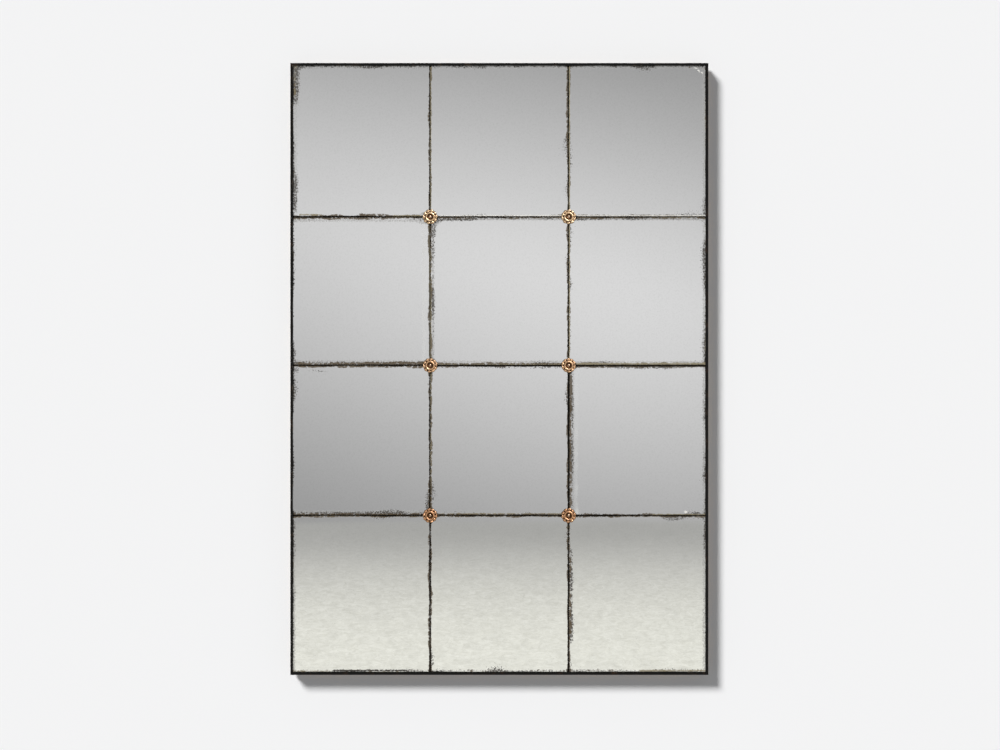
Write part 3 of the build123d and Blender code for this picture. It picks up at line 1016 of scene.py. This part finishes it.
    def stain(self, build: bmesh.types.BMesh) -> None:
        """Paints how strong each tone, and the painted reflection of the floor's nap, is at every corner of
        the mesh.

        Args:
            build: The pane's mesh.
        """
        layers = {tone: build.verts.layers.float.new(tone.value) for tone in Tone}
        painted_nap_reflection = build.verts.layers.float.new("painted_nap_reflection")
        near = [stroke for stroke in STROKES if self.touches(stroke)]
        for corner in build.verts:
            levels = self.general_wear(corner.co)
            for stroke in near:
                levels[stroke.tone] += stroke.cover(corner.co.x / MM, corner.co.z / MM)
            # The painted highlights and the tan sheen lighten the black on the arrises
            shine = min(1.0, levels[Tone.TAN] + levels[Tone.PALE])
            levels[Tone.BLACK] *= 1 - self.shine_clears * shine
            for tone, layer in layers.items():
                corner[layer] = min(1.0, max(0.0, levels[tone]))
            # Painted reflection of the floor's nap, growing down the lowest row
            below = self.nap_reflection_from - corner.co.z / MM
            corner[painted_nap_reflection] = min(1.0, max(0.0, below / self.nap_reflection_fade))

    def touches(self, stroke: Stroke) -> bool:
        """Whether a stroke comes near enough to the pane to stain it.

        Args:
            stroke: The stroke.

        Returns:
            True if its line, with a margin, crosses the pane's box.
        """
        spans = (
            (stroke.start[0], stroke.end[0], self.low.x, self.high.x),
            (stroke.start[1], stroke.end[1], self.low.z, self.high.z),
        )
        return all(
            min(start, end) - self.stroke_margin < high / MM
            and max(start, end) + self.stroke_margin > low / MM
            for start, end, low, high in spans
        )

    def general_wear(self, place: Vector) -> dict[Tone, float]:
        """The wear of every pane: a lumpy brown rim at the joints, a speckled one at the frame.

        Args:
            place: A point on the pane.

        Returns:
            The strength of each tone.
        """
        joint = self.joint_gap(place)
        gap = min(joint, self.frame_gap(place))
        own = place + self.low * 5
        lively = 0.5 + noise.noise(own * per_metre(self.lively_patch))
        slow = 0.5 + noise.noise(own * per_metre(self.slow_patch))
        lump = max(0.0, noise.noise(own * per_metre(self.lump_patch)) + 0.1)
        cluster = max(0.0, noise.noise((own + FRONT) * per_metre(self.cluster_patch)) + 0.05)
        on_arris = joint < self.arris / MM * 1.05
        past = max(0.0, joint - self.arris / MM)
        rim = math.exp(-((past / (self.rim_width + self.lump_width * lump)) ** 2))
        speck_fade = self.speck_fade * (1 + 3 * cluster)
        brown = rim + 0.35 * math.exp(-gap / self.brown_fade)
        black = 0.8 * lively * math.exp(-past / self.black_fade)
        return {
            Tone.HAZE: 0.5 * slow * math.exp(-gap / self.haze_fade),
            Tone.SMUDGE: (0.5 + 0.8 * cluster) * math.exp(-gap / self.smudge_fade),
            Tone.SPECKS: (0.5 + 1.3 * cluster) * math.exp(-gap / speck_fade),
            Tone.BROWN: 0.95 if on_arris else brown,
            Tone.TAN: 0.6 * slow * math.exp(-gap / self.tan_fade),
            Tone.BLACK: 0.62 + 0.45 * lively if on_arris else black,
            Tone.PALE: 0.0,
        }

    def joint_gap(self, place: Vector) -> float:
        """The distance to the pane's nearest edge that meets another pane.

        Args:
            place: A point on the pane.

        Returns:
            The distance in millimetres.
        """
        sides = (
            (self.low.x > SIGHT_LOW.x, place.x - self.low.x),
            (self.high.x < SIGHT_HIGH.x, self.high.x - place.x),
            (self.low.z > SIGHT_LOW.z, place.z - self.low.z),
            (self.high.z < SIGHT_HIGH.z, self.high.z - place.z),
        )
        return max(0.0, min(gap for meets, gap in sides if meets)) / MM

    def frame_gap(self, place: Vector) -> float:
        """The distance to the nearest lip of the frame.

        Args:
            place: A point on the pane.

        Returns:
            The distance in millimetres.
        """
        across = min(place.x - SIGHT_LOW.x, SIGHT_HIGH.x - place.x)
        up = min(place.z - SIGHT_LOW.z, SIGHT_HIGH.z - place.z)
        return max(0.0, min(across, up)) / MM


@dataclass
class MirrorFace:
    """The twelve panes, three across and four down."""

    finish: AntiquedMirror = field(default_factory=AntiquedMirror)

    def build(self) -> list[bpy.types.Object]:
        """Models every pane.

        Returns:
            The twelve pieces.
        """
        silvering = self.finish.material()
        names = sorted(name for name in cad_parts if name.startswith("pane_"))
        return [Pane(name).build(silvering) for name in names]


# Iron frame

class Side(Enum):
    """A bar's place in the frame, as its turn about the front axis in degrees."""

    BOTTOM = 0
    LEFT = 90
    TOP = 180
    RIGHT = -90


@dataclass
class FrameBar:
    """One hand-forged bar of L section, mitred at both ends, its lip over the panes' rims."""

    node: str
    side: Side
    wall: float = 3 * MM
    lip: float = 8 * MM
    lip_thickness: float = 3 * MM
    edge_radius: float = 0.8 * MM
    lip_cuts: tuple[float, ...] = (0.3, 0.55, 0.78)
    hammer_pitch: float = 9 * MM
    ripple: float = 0.45 * MM
    blow_patch: float = 28.0
    bow_patch: float = 110.0
    rubbed: float = 0.1
    rubbed_from: float = 0.5

    def build(self, finish: bpy.types.Material) -> bpy.types.Object:
        """Models the bar along X, hammers it and turns it into its place.

        Args:
            finish: The frame's material.

        Returns:
            The finished piece.
        """
        low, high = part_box(self.node)
        size = high - low
        upright = self.side in (Side.LEFT, Side.RIGHT)
        length = size.z if upright else size.x
        build = bmesh.new()
        self.extrude_section(build, low.y, high.y, length)
        self.round_front(build, low.y)
        cuts = round(length / self.hammer_pitch)
        slice_mesh(build, [length * (step / cuts - 0.5) for step in range(1, cuts)], Vector((1, 0, 0)))
        slice_mesh(build, [self.lip * share for share in self.lip_cuts], Vector((0, 0, 1)))
        self.hammer(build, low.y)
        self.mark_rubbed(build)
        bmesh.ops.transform(build, matrix=self.placing(low, high), verts=build.verts)
        return keep_piece(build, f"forged_{self.node}", finish, self.node)

    def extrude_section(self, build: bmesh.types.BMesh, front: float, back: float, length: float) -> None:
        """Makes the L section and draws it out to length, with 45 degree mitres.

        Args:
            build: The empty mesh.
            front: The bar's front in Y.
            back: Its back in Y.
            length: Its outer length.
        """
        inside = front + self.lip_thickness
        section = (
            (back, 0.0),
            (front, 0.0),
            (front, self.lip),
            (inside, self.lip),
            (inside, self.wall),
            (back, self.wall),
        )
        corners = [build.verts.new((-length / 2 + up, across, up)) for across, up in section]
        face = build.faces.new(corners)
        drawn = bmesh.ops.extrude_face_region(build, geom=[face], use_keep_orig=True)
        for corner in drawn["geom"]:
            if isinstance(corner, bmesh.types.BMVert):
                corner.co.x = length / 2 - corner.co.z
        bmesh.ops.recalc_face_normals(build, faces=build.faces)

    def round_front(self, build: bmesh.types.BMesh, front: float) -> None:
        """Rounds the two long front edges, as the hammer and file leave them.

        Args:
            build: The bar's mesh.
            front: The bar's front in Y.
        """
        edges = [
            edge
            for edge in build.edges
            if all(abs(corner.co.y - front) < SAME for corner in edge.verts)
            and abs(edge.verts[0].co.z - edge.verts[1].co.z) < SAME
        ]
        bmesh.ops.bevel(
            build, geom=edges, offset=self.edge_radius, affect="EDGES", segments=3, profile=0.5, material=-1
        )

    def hammer(self, build: bmesh.types.BMesh, front: float) -> None:
        """Dents the front and the outside a little, and lets the lip's edge wander, as hammer work does.

        Args:
            build: The bar's mesh.
            front: The bar's front in Y.
        """
        face_end = front + self.edge_radius + SAME
        lip_start = self.lip - self.edge_radius - SAME
        for corner in build.verts:
            own_blows = corner.co + Vector((0, 0, self.side.value))
            own_bow = corner.co + Vector((self.side.value, 0, 0))
            blow = noise.noise_vector(own_blows * per_metre(self.blow_patch))
            slow = noise.noise(own_bow * per_metre(self.bow_patch))
            if corner.co.y < face_end:
                corner.co.y += self.ripple * 0.5 * abs(blow.y)
            if corner.co.z > lip_start:
                corner.co.z += self.ripple * (blow.z + 1.6 * slow)
            elif corner.co.z < self.wall / 2:
                corner.co.z += self.ripple * 0.6 * abs(blow.x)

    def mark_rubbed(self, build: bmesh.types.BMesh) -> None:
        """Stores where the lip's inner edge has lost its black, on the bars that are rubbed.

        Args:
            build: The bar's mesh.
        """
        rubbed = build.verts.layers.float.new("rubbed")
        for corner in build.verts:
            past = max(0.0, corner.co.z / self.lip - self.rubbed_from)
            corner[rubbed] = self.rubbed * min(1.0, past / (1 - self.rubbed_from))

    def placing(self, low: Vector, high: Vector) -> Matrix:
        """Where the bar goes: turned about the front axis, its outer face on the node's.

        Args:
            low: The node's lowest corner.
            high: Its highest corner.

        Returns:
            The matrix that turns and moves the bar.
        """
        middle = (low + high) / 2
        outer = {
            Side.BOTTOM: Vector((middle.x, 0, low.z)),
            Side.TOP: Vector((middle.x, 0, high.z)),
            Side.LEFT: Vector((low.x, 0, middle.z)),
            Side.RIGHT: Vector((high.x, 0, middle.z)),
        }[self.side]
        return Matrix.Translation(outer) @ Matrix.Rotation(math.radians(self.side.value), 4, "Y")


@dataclass
class IronFrame:
    """The slim forged frame: two rails and two stiles."""

    finish: ForgedIron = field(default_factory=ForgedIron)

    def build(self) -> list[bpy.types.Object]:
        """Models the four bars, whose lips are as uneven in width as hand work leaves them.

        Returns:
            The four pieces.
        """
        iron = self.finish.material()
        bars = (
            FrameBar("frame_rail_top", Side.TOP, lip=6.4 * MM, rubbed=0.45),
            FrameBar("frame_rail_bottom", Side.BOTTOM),
            FrameBar("frame_stile_left", Side.LEFT, lip=6.6 * MM, rubbed=0.55),
            FrameBar("frame_stile_right", Side.RIGHT, lip=7.4 * MM),
        )
        return [bar.build(iron) for bar in bars]


# Rosettes

ROSETTE_NODES = [
    f"rosette_{level}_{side}" for level in ("upper", "middle", "lower") for side in ("left", "right")
]


def rosette_place(node: str) -> Vector:
    """The middle of a rosette in the plane of the wall."""
    low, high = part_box(node)
    return Vector(((low.x + high.x) / 2, 0, (low.z + high.z) / 2))


ROSETTE_PLACES = [rosette_place(node) for node in ROSETTE_NODES]


@dataclass
class Rosette:
    """A cast flower of ten petals round a raised ring, with a pit between each two petals.

    Sizes are in millimetres. The rim is flat out to a share of its width and then falls away.
    """

    node: str
    turn_degrees: float
    petals: int = 10
    steps_per_petal: int = 14
    petal_radius: float = 4.6
    petal_top: float = 4.3
    ring_outer: float = 12.0
    ring_inner: float = 7.5
    ring_shoulder: float = 6.0
    ring_top: float = 8.6
    bead_steps: int = 10
    floor: float = 3.0
    floor_radius: float = 7.1
    floor_lip: tuple[float, float] = (7.45, 3.6)
    rim_radius: float = 17.6
    rim_height: float = 3.4
    rim_flat: float = 0.72
    rim_fall: float = 0.5
    rim_steps: int = 12
    bore: float = 2.8
    screw_radius: float = 5.2
    pit_radius: float = 1.5
    pit_ring: float = 13.4
    pit_height: float = 0.9
    toning: float = 1.1

    def build(self, finish: bpy.types.Material) -> bpy.types.Object:
        """Spins the profile, raises the petals and stands the flower on its gasket.

        Args:
            finish: The rosette's brass.

        Returns:
            The finished piece.
        """
        low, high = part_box(self.node)
        radius = (high.x - low.x) / 2 / MM
        build = bmesh.new()
        profile = [build.verts.new((across, 0, up)) for across, up in self.profile(radius)]
        outline = [build.edges.new((a, b)) for a, b in zip(profile, profile[1:] + profile[:1])]
        bmesh.ops.spin(
            build,
            geom=profile + outline,
            axis=(0, 0, 1),
            cent=(0, 0, 0),
            angle=math.tau,
            steps=self.petals * self.steps_per_petal,
            use_merge=True,
        )
        bmesh.ops.remove_doubles(build, verts=build.verts, dist=1e-4)
        self.raise_petals(build, radius)
        self.mark_hollows(build)
        for face in build.faces:
            face.smooth = True
        middle = rosette_place(self.node)
        placing = (
            Matrix.Translation((middle.x, high.y, middle.z))
            @ Matrix.Rotation(math.radians(90), 4, "X")
            @ Matrix.Rotation(math.radians(self.turn_degrees), 4, "Z")
            @ Matrix.Scale(MM, 4)
        )
        bmesh.ops.transform(build, matrix=placing, verts=build.verts)
        return keep_piece(build, f"cast_{self.node}", finish, self.node)

    def profile(self, radius: float) -> list[tuple[float, float]]:
        """The closed section from the bore outwards over the ring and back underneath.

        Args:
            radius: The flower's outer radius, in millimetres.

        Returns:
            Points as distance from the axis and height.
        """
        ring_middle = (self.ring_inner + self.ring_outer) / 2
        half = (self.ring_outer - self.ring_inner) / 2
        crown = self.ring_top - self.ring_shoulder
        turns = [math.pi * step / self.bead_steps for step in range(self.bead_steps + 1)]
        bead = [
            (ring_middle - half * math.cos(turn), self.ring_shoulder + crown * math.sin(turn))
            for turn in turns
        ]
        inside = [
            (self.bore, 0.0),
            (self.bore, self.floor),
            (self.screw_radius, self.floor),
            (self.floor_radius, self.floor),
            self.floor_lip,
        ]
        rim_width = radius - self.ring_outer
        rim = [
            (self.ring_outer + rim_width * step / self.rim_steps, self.rim_height)
            for step in range(self.rim_steps + 1)
        ]
        return inside + bead + rim + [(radius, 0.0)]

    def petal_frame(self, x: float, y: float) -> tuple[float, float]:
        """Where a point lies in its own petal.

        Args:
            x: The point's place across the flower.
            y: Its place up the flower.

        Returns:
            Its angle from the petal's axis and its distance from the flower's.
        """
        pitch = math.tau / self.petals
        turn = math.atan2(y, x)
        return (turn + pitch / 2) % pitch - pitch / 2, math.hypot(x, y)

    def raise_petals(self, build: bmesh.types.BMesh, radius: float) -> None:
        """Scallops the outline into petals, domes each and sinks the pits between them.

        Args:
            build: The spun flower, in millimetres.
            radius: Its outer radius.
        """
        centre = radius - self.petal_radius
        for corner in build.verts:
            off, reach = self.petal_frame(corner.co.x, corner.co.y)
            if reach <= self.ring_outer + SAME:
                continue
            side = centre * math.sin(off)
            petal = centre * math.cos(off) + math.sqrt(max(0.0, self.petal_radius ** 2 - side ** 2))
            edge = max(petal, self.rim_radius)
            share = (reach - self.ring_outer) / (radius - self.ring_outer)
            new_reach = self.ring_outer + (edge - self.ring_outer) * share
            corner.co.xy *= new_reach / reach
            if corner.co.z < SAME:
                continue
            gap = math.hypot(new_reach * math.cos(off) - centre, new_reach * math.sin(off))
            dome = math.sqrt(max(0.0, 1 - (gap / self.petal_radius) ** 2))
            height = self.rim_height + (self.petal_top - self.rim_height) * dome
            past_flat = max(0.0, (share - self.rim_flat) / (1 - self.rim_flat))
            height *= 1 - self.rim_fall * past_flat ** 2
            pit_off = abs(off) - math.pi / self.petals
            outwards = new_reach * math.cos(pit_off) - self.pit_ring
            pit_gap = math.hypot(outwards, new_reach * math.sin(pit_off))
            pit = math.exp(-((pit_gap / self.pit_radius) ** 2))
            corner.co.z = height * (1 - pit) + self.pit_height * pit

    def mark_hollows(self, build: bmesh.types.BMesh) -> None:
        """Stores how low each corner lies: toning collects in the hollows, and the falling outer rim and the
        underside turn darker.

        Args:
            build: The flower, in millimetres.
        """
        hollow = build.verts.layers.float.new("hollow")
        for corner in build.verts:
            reach = corner.co.xy.length
            crest = self.ring_top if reach < self.ring_outer else self.petal_top
            corner[hollow] = min(1.0, max(0.0, self.toning * (1 - corner.co.z / crest)))


@dataclass
class Rosettes:
    """The six rosettes, golden at the top and more coppery lower down, each turned as it was fitted."""

    turns: tuple[float, ...] = (4.0, 15.0, 9.0, 22.0, 30.0, 12.0)
    tones: tuple[str, ...] = ("#EDCCA6", "#E6BC95", "#DBA982")

    def build(self) -> list[bpy.types.Object]:
        """Models the six flowers, each level in its own tone.

        Returns:
            The six pieces.
        """
        metals = [
            AgedBrass(f"cast_brass_toned_{place}", bright=tone).material()
            for place, tone in enumerate(self.tones, 1)
        ]
        pairs = zip(ROSETTE_NODES, self.turns)
        return [Rosette(node, turn).build(metals[place // 2]) for place, (node, turn) in enumerate(pairs)]


# Everything behind the face

@dataclass
class BackWork:
    """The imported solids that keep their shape: board, battens, fixings, bumpers and hangers."""

    screw_bright: str = "#BFA58E"
    screw_toned: str = "#57402F"

    def dress(self) -> list[bpy.types.Object]:
        """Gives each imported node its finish.

        Returns:
            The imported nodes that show.
        """
        zinc = ZINC.material()
        screw = AgedBrass("bronze_screw_oiled", self.screw_bright, self.screw_toned).material()
        wood = {grain: Pine(f"pine_{grain.name.lower()}", grain).material() for grain in Grain}
        plain = {
            "backing_board": BOARD.material(),
            "mastic_pads": MASTIC.material(),
            "rosette_gaskets": FELT.material(),
            "rosette_screws": screw,
            "wall_bumpers": RUBBER.material(),
        }
        shown = [name for name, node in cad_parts.items() if not node.hide_render]
        for name in shown:
            if name.startswith("batten_stile"):
                finish = wood[Grain.UPRIGHT]
            elif name.startswith(("batten_rail", "batten_cross")):
                finish = wood[Grain.LEVEL]
            else:
                finish = plain.get(name, zinc)
            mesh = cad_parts[name].data
            mesh.materials.clear()
            mesh.materials.append(finish)
            LOG.info("%s: packed solid in %s", name, finish.name)
        return [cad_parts[name] for name in shown]


# Wall, floor, backdrop, lights and camera

@dataclass
class Studio:
    """A pale wall and floor inside a round pale backdrop, which the panes reflect.

    Distances are in metres. A soft step gives where it starts and ends, and both levels.
    """

    wall_gap: float = 14 * MM
    wall_reach: float = 14.0
    floor_drop: float = 0.25
    backdrop_radius: float = 10.3
    backdrop_height: float = 9.0
    pale: str = "#F4F4F4"
    sun_direction: tuple[float, float, float] = (0.69, 1.0, -0.82)
    sun_strength: float = 3.86
    sun_degrees: float = 15.0
    back_direction: tuple[float, float, float] = (0.4, -1.0, -0.8)
    back_strength: float = 1.4
    lamp_place: tuple[float, float, float] = (2.0, -2.6, 3.0)
    lamp_size: float = 2.4
    lamp_watts: float = 230.0
    world_strength: float = 0.16
    world_in_glass: float = 0.34
    wall_paint: str = "#E6E6E6"
    wall_glow: float = 0.117
    wall_glow_tone: str = "#F9FBFF"
    floor_paint: str = "#EAEAE9"
    floor_warmth: str = "#FFFFF5"
    floor_far: tuple[float, float, float, float] = (2.4, 9.6, 0.96, 0.45)
    floor_near: tuple[float, float, float, float] = (1.5, 2.4, 0.5, 1.0)
    # A real nap is far finer: it is drawn with its folds this many millimetres apart to show
    nap_patch: float = 170.0
    nap_stretch: tuple[float, float, float] = (1.0, 0.3, 1.0)
    nap_folds: float = 8.0
    nap_levels: tuple[float, float] = (0.93, 1.02)
    band_lean: float = -13.0
    # The bright band's soft steps, each with its axis
    band: tuple[tuple[str, float, float, float, float], ...] = (
        ("Z", -1.8, 0.9, 0.35, 0.80),
        ("Z", 2.9, 0.55, 0.38, 1.0),
        ("X", -2.6, 0.3, 0.86, 1.0),
        ("X", 4.0, 0.5, 0.70, 1.0),
        ("X", -6.5, -2.9, 0.40, 1.0),
    )

    def build(self, pieces: list[bpy.types.Object], brass: list[bpy.types.Object]) -> None:
        """Sets up the stage, the lights and the world.

        Args:
            pieces: Every visible piece of the mirror.
            brass: The pieces that the small lamp lights.
        """
        low = CAD_BOX[0]
        floor_z = low.z - self.floor_drop
        self.wall(floor_z)
        self.floor(floor_z)
        self.backdrop(floor_z)
        self.lights(pieces, brass)
        self.world()

    def flat(self, name: str, matrix: Matrix, reach: float, material: bpy.types.Material) -> bpy.types.Object:
        """Lays one square of the stage.

        Args:
            name: The object's name.
            matrix: Its place.
            reach: Half its side.
            material: Its material.

        Returns:
            The staged object.
        """
        build = bmesh.new()
        bmesh.ops.create_grid(build, x_segments=1, y_segments=1, size=reach, matrix=matrix)
        return self.staged(name, build, material)

    def staged(self, name: str, build: bmesh.types.BMesh, material: bpy.types.Material) -> bpy.types.Object:
        """Turns a bmesh into a stage object that lights nothing and shades nothing.

        Args:
            name: The object's name.
            build: Its mesh.
            material: Its material.

        Returns:
            The staged object.
        """
        mesh = bpy.data.meshes.new(name)
        build.to_mesh(mesh)
        build.free()
        made = bpy.data.objects.new(name, mesh)
        mesh.materials.append(material)
        bpy.context.scene.collection.objects.link(made)
        made.visible_diffuse = False
        made.visible_shadow = False
        return made

    def paint(self, name: str) -> tuple[bpy.types.Material, bpy.types.Node, bpy.types.NodeSocket]:
        """Starts a stage material whose first shader is seen by the camera alone.

        Args:
            name: The material's name.

        Returns:
            The material, the mix that takes the shader for other rays, and the camera share.
        """
        material = bpy.data.materials.new(name)
        material.use_nodes = True
        tree = material.node_tree
        tree.nodes.clear()
        ray = add_node(tree, "ShaderNodeLightPath").outputs["Is Camera Ray"]
        mix = add_node(tree, "ShaderNodeMixShader", {0: ray})
        add_node(tree, "ShaderNodeOutputMaterial", {"Surface": mix.outputs["Shader"]})
        return material, mix, ray

    def wall(self, floor_z: float) -> None:
        """The pale wall: it shows from its front only and takes the mirror's shadow.

        Args:
            floor_z: The floor's height.
        """
        material, mix, ray = self.paint("matt_wall_paint")
        tree = material.node_tree
        back = add_node(tree, "ShaderNodeNewGeometry").outputs["Backfacing"]
        front = add_node(tree, "ShaderNodeMath", {0: ray, 1: back}, operation="SUBTRACT")
        tree.links.new(front.outputs["Value"], mix.inputs[0])
        clear = add_node(tree, "ShaderNodeBsdfTransparent")
        matt = add_node(tree, "ShaderNodeBsdfDiffuse", {"Color": linear(self.wall_paint)})
        glow = add_node(
            tree, "ShaderNodeEmission",
            {"Color": linear(self.wall_glow_tone), "Strength": self.wall_glow},
        )
        both = add_node(
            tree, "ShaderNodeAddShader", {0: matt.outputs["BSDF"], 1: glow.outputs["Emission"]}
        )
        tree.links.new(clear.outputs["BSDF"], mix.inputs[1])
        tree.links.new(both.outputs["Shader"], mix.inputs[2])
        middle = Matrix.Translation((0, self.wall_gap, floor_z + self.wall_reach))
        upright = middle @ Matrix.Rotation(math.radians(90), 4, "X")
        self.flat("stage_wall", upright, self.wall_reach, material)

    def floor(self, floor_z: float) -> None:
        """The pale floor, whose reflection darkens with distance and has a crinkled nap.

        Args:
            floor_z: The floor's height.
        """
        material, mix, _ = self.paint("pale_floor")
        tree = material.node_tree
        place = add_node(tree, "ShaderNodeTexCoord").outputs["Object"]
        far = add_node(tree, "ShaderNodeVectorMath", {0: place}, operation="LENGTH")
        levels = []
        for start, end, first, last in (self.floor_far, self.floor_near):
            level = add_node(
                tree, "ShaderNodeMapRange",
                {
                    "Value": far.outputs["Value"], "From Min": start, "From Max": end,
                    "To Min": first, "To Max": last,
                },
                interpolation_type="SMOOTHSTEP",
            )
            levels.append(level.outputs["Result"])
        stretched = add_node(tree, "ShaderNodeMapping", {"Vector": place, "Scale": self.nap_stretch})
        nap = add_node(
            tree, "ShaderNodeTexNoise",
            {
                "Vector": stretched.outputs["Vector"], "Scale": per_metre(self.nap_patch),
                "Detail": 3.0, "Roughness": 0.55,
            },
        )
        folds = add_node(
            tree, "ShaderNodeMath", {0: nap.outputs["Fac"], 1: self.nap_folds}, operation="MULTIPLY"
        )
        ridge = add_node(
            tree, "ShaderNodeMath", {0: folds.outputs["Value"], 1: 0.5}, operation="PINGPONG"
        )
        low, high = self.nap_levels
        crinkle = add_node(
            tree, "ShaderNodeMapRange",
            {
                "Value": ridge.outputs["Value"], "From Min": 0.0, "From Max": 0.35,
                "To Min": low, "To Max": high,
            },
        )
        strength = crinkle.outputs["Result"]
        for level in levels:
            strength = add_node(
                tree, "ShaderNodeMath", {0: level, 1: strength}, operation="MULTIPLY"
            ).outputs["Value"]
        warmth = add_node(
            tree, "ShaderNodeMix",
            {MIX_FACTOR: levels[0], MIX_A: linear("#FFFFFF"), MIX_B: linear(self.floor_warmth)},
            data_type="RGBA",
        )
        glow = add_node(
            tree, "ShaderNodeEmission", {"Color": warmth.outputs[MIX_COLOUR], "Strength": strength}
        )
        plain = add_node(tree, "ShaderNodeEmission", {"Color": linear(self.floor_paint)})
        tree.links.new(glow.outputs["Emission"], mix.inputs[1])
        tree.links.new(plain.outputs["Emission"], mix.inputs[2])
        self.flat("stage_floor", Matrix.Translation((0, 0, floor_z)), self.wall_reach, material)

    def backdrop(self, floor_z: float) -> None:
        """The round backdrop: plain to the camera, with a soft bright band in reflections.

        Args:
            floor_z: The floor's height, on which it stands.
        """
        material, mix, _ = self.paint("backdrop_paper")
        tree = material.node_tree
        place = add_node(tree, "ShaderNodeTexCoord").outputs["Object"]
        leaning = add_node(
            tree, "ShaderNodeMapping", {"Vector": place, "Rotation": (0, math.radians(self.band_lean), 0)}
        )
        axes = add_node(tree, "ShaderNodeSeparateXYZ", {"Vector": leaning.outputs["Vector"]})
        strength: bpy.types.NodeSocket | float = 1.0
        for axis, dark_end, bright_end, low, high in self.band:
            part = add_node(
                tree, "ShaderNodeMapRange",
                {
                    "Value": axes.outputs[axis], "From Min": dark_end, "From Max": bright_end,
                    "To Min": low, "To Max": high,
                },
                interpolation_type="SMOOTHSTEP",
            )
            strength = add_node(
                tree, "ShaderNodeMath", {0: part.outputs["Result"], 1: strength}, operation="MULTIPLY"
            ).outputs["Value"]
        seen = add_node(tree, "ShaderNodeEmission", {"Strength": strength})
        plain = add_node(tree, "ShaderNodeEmission", {"Color": linear(self.pale)})
        tree.links.new(seen.outputs["Emission"], mix.inputs[1])
        tree.links.new(plain.outputs["Emission"], mix.inputs[2])
        build = bmesh.new()
        bmesh.ops.create_cone(
            build,
            segments=128,
            radius1=self.backdrop_radius,
            radius2=self.backdrop_radius,
            depth=self.backdrop_height,
            cap_ends=False,
            matrix=Matrix.Translation((0, 0, floor_z + self.backdrop_height / 2)),
        )
        bmesh.ops.reverse_faces(build, faces=build.faces)
        for face in build.faces:
            face.smooth = True
        self.staged("stage_backdrop", build, material)

    def lights(self, pieces: list[bpy.types.Object], brass: list[bpy.types.Object]) -> None:
        """A broad sun from the upper left, a small one for the back and a lamp for the brass.

        Args:
            pieces: What the sun behind the mirror lights, so that the floor stays even.
            brass: What the lamp lights, so that no other surface shows its glint.
        """
        self.sun("sun_front", Vector(self.sun_direction), self.sun_strength)
        behind = self.sun("sun_back", Vector(self.back_direction), self.back_strength)
        light_only(behind, pieces)
        data = bpy.data.lights.new("brass_lamp", "AREA")
        data.shape = "DISK"
        data.size = self.lamp_size
        data.energy = self.lamp_watts
        lamp = bpy.data.objects.new("brass_lamp", data)
        place = Vector(self.lamp_place)
        aim = (-place).to_track_quat("-Z", "Y").to_matrix().to_4x4()
        lamp.matrix_world = Matrix.Translation(place) @ aim
        lamp.visible_diffuse = False
        bpy.context.scene.collection.objects.link(lamp)
        light_only(lamp, brass)

    def sun(self, name: str, travel: Vector, strength: float) -> bpy.types.Object:
        """Adds a soft sun that no polished surface shows.

        Args:
            name: The lamp's name.
            travel: The way its light goes.
            strength: Its strength.

        Returns:
            The sun.
        """
        data = bpy.data.lights.new(name, "SUN")
        data.energy = strength
        data.angle = math.radians(self.sun_degrees)
        sun = bpy.data.objects.new(name, data)
        sun.rotation_euler = travel.to_track_quat("-Z", "Y").to_euler()
        sun.visible_glossy = False
        bpy.context.scene.collection.objects.link(sun)
        return sun

    def world(self) -> None:
        """An even sky: the plain ambient light, pale to the camera and grey in reflections."""
        world = bpy.data.worlds.new("studio_sky")
        world.use_nodes = True
        tree = world.node_tree
        tree.nodes.clear()
        rays = add_node(tree, "ShaderNodeLightPath").outputs
        white = linear("#FFFFFF")
        lit, mirrored, seen = (
            add_node(tree, "ShaderNodeBackground", {"Color": colour, "Strength": strength})
            for colour, strength in (
                (white, self.world_strength), (white, self.world_in_glass), (linear(self.pale), 1.0)
            )
        )
        glossy = add_node(
            tree, "ShaderNodeMixShader",
            {
                0: rays["Is Glossy Ray"], 1: lit.outputs["Background"],
                2: mirrored.outputs["Background"],
            },
        )
        both = add_node(
            tree, "ShaderNodeMixShader",
            {0: rays["Is Camera Ray"], 1: glossy.outputs["Shader"], 2: seen.outputs["Background"]},
        )
        add_node(tree, "ShaderNodeOutputWorld", {"Surface": both.outputs["Shader"]})
        bpy.context.scene.world = world


@dataclass
class View:
    """The camera: square on to the mirror, 85 mm lens, at the distance that fills the picture."""

    lens: float = 85.0
    sensor: float = 36.0
    picture_width: float = 2.4875
    sideways: float = 1.6 * MM
    height: float = -15 * MM
    reach: float = 100.0

    def place(self) -> None:
        """Creates the camera and makes it the scene's own."""
        data = bpy.data.cameras.new("view")
        data.lens = self.lens
        data.sensor_width = self.sensor
        data.clip_end = self.reach
        camera = bpy.data.objects.new("view", data)
        distance = self.picture_width * self.lens / self.sensor
        front = CAD_BOX[0].y
        camera.location = (self.sideways, front - distance, self.height)
        camera.rotation_euler = (math.radians(90), 0, 0)
        bpy.context.scene.collection.objects.link(camera)
        bpy.context.scene.camera = camera


def main() -> None:
    """Builds the mirror, its stage, its light and its view."""
    logging.basicConfig(level=logging.INFO, format="%(message)s")
    noise.seed_set(NOISE_SEED)
    bpy.context.scene.view_settings.view_transform = "Standard"
    View().place()
    rosettes = Rosettes().build()
    pieces = IronFrame().build() + MirrorFace().build() + rosettes
    packed = BackWork().dress()
    Studio().build(pieces + packed, [*rosettes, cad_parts["rosette_screws"]])
    LOG.info("%d pieces modelled, %d packed", len(pieces), len(packed))


if __name__ == "__main__":
    main()
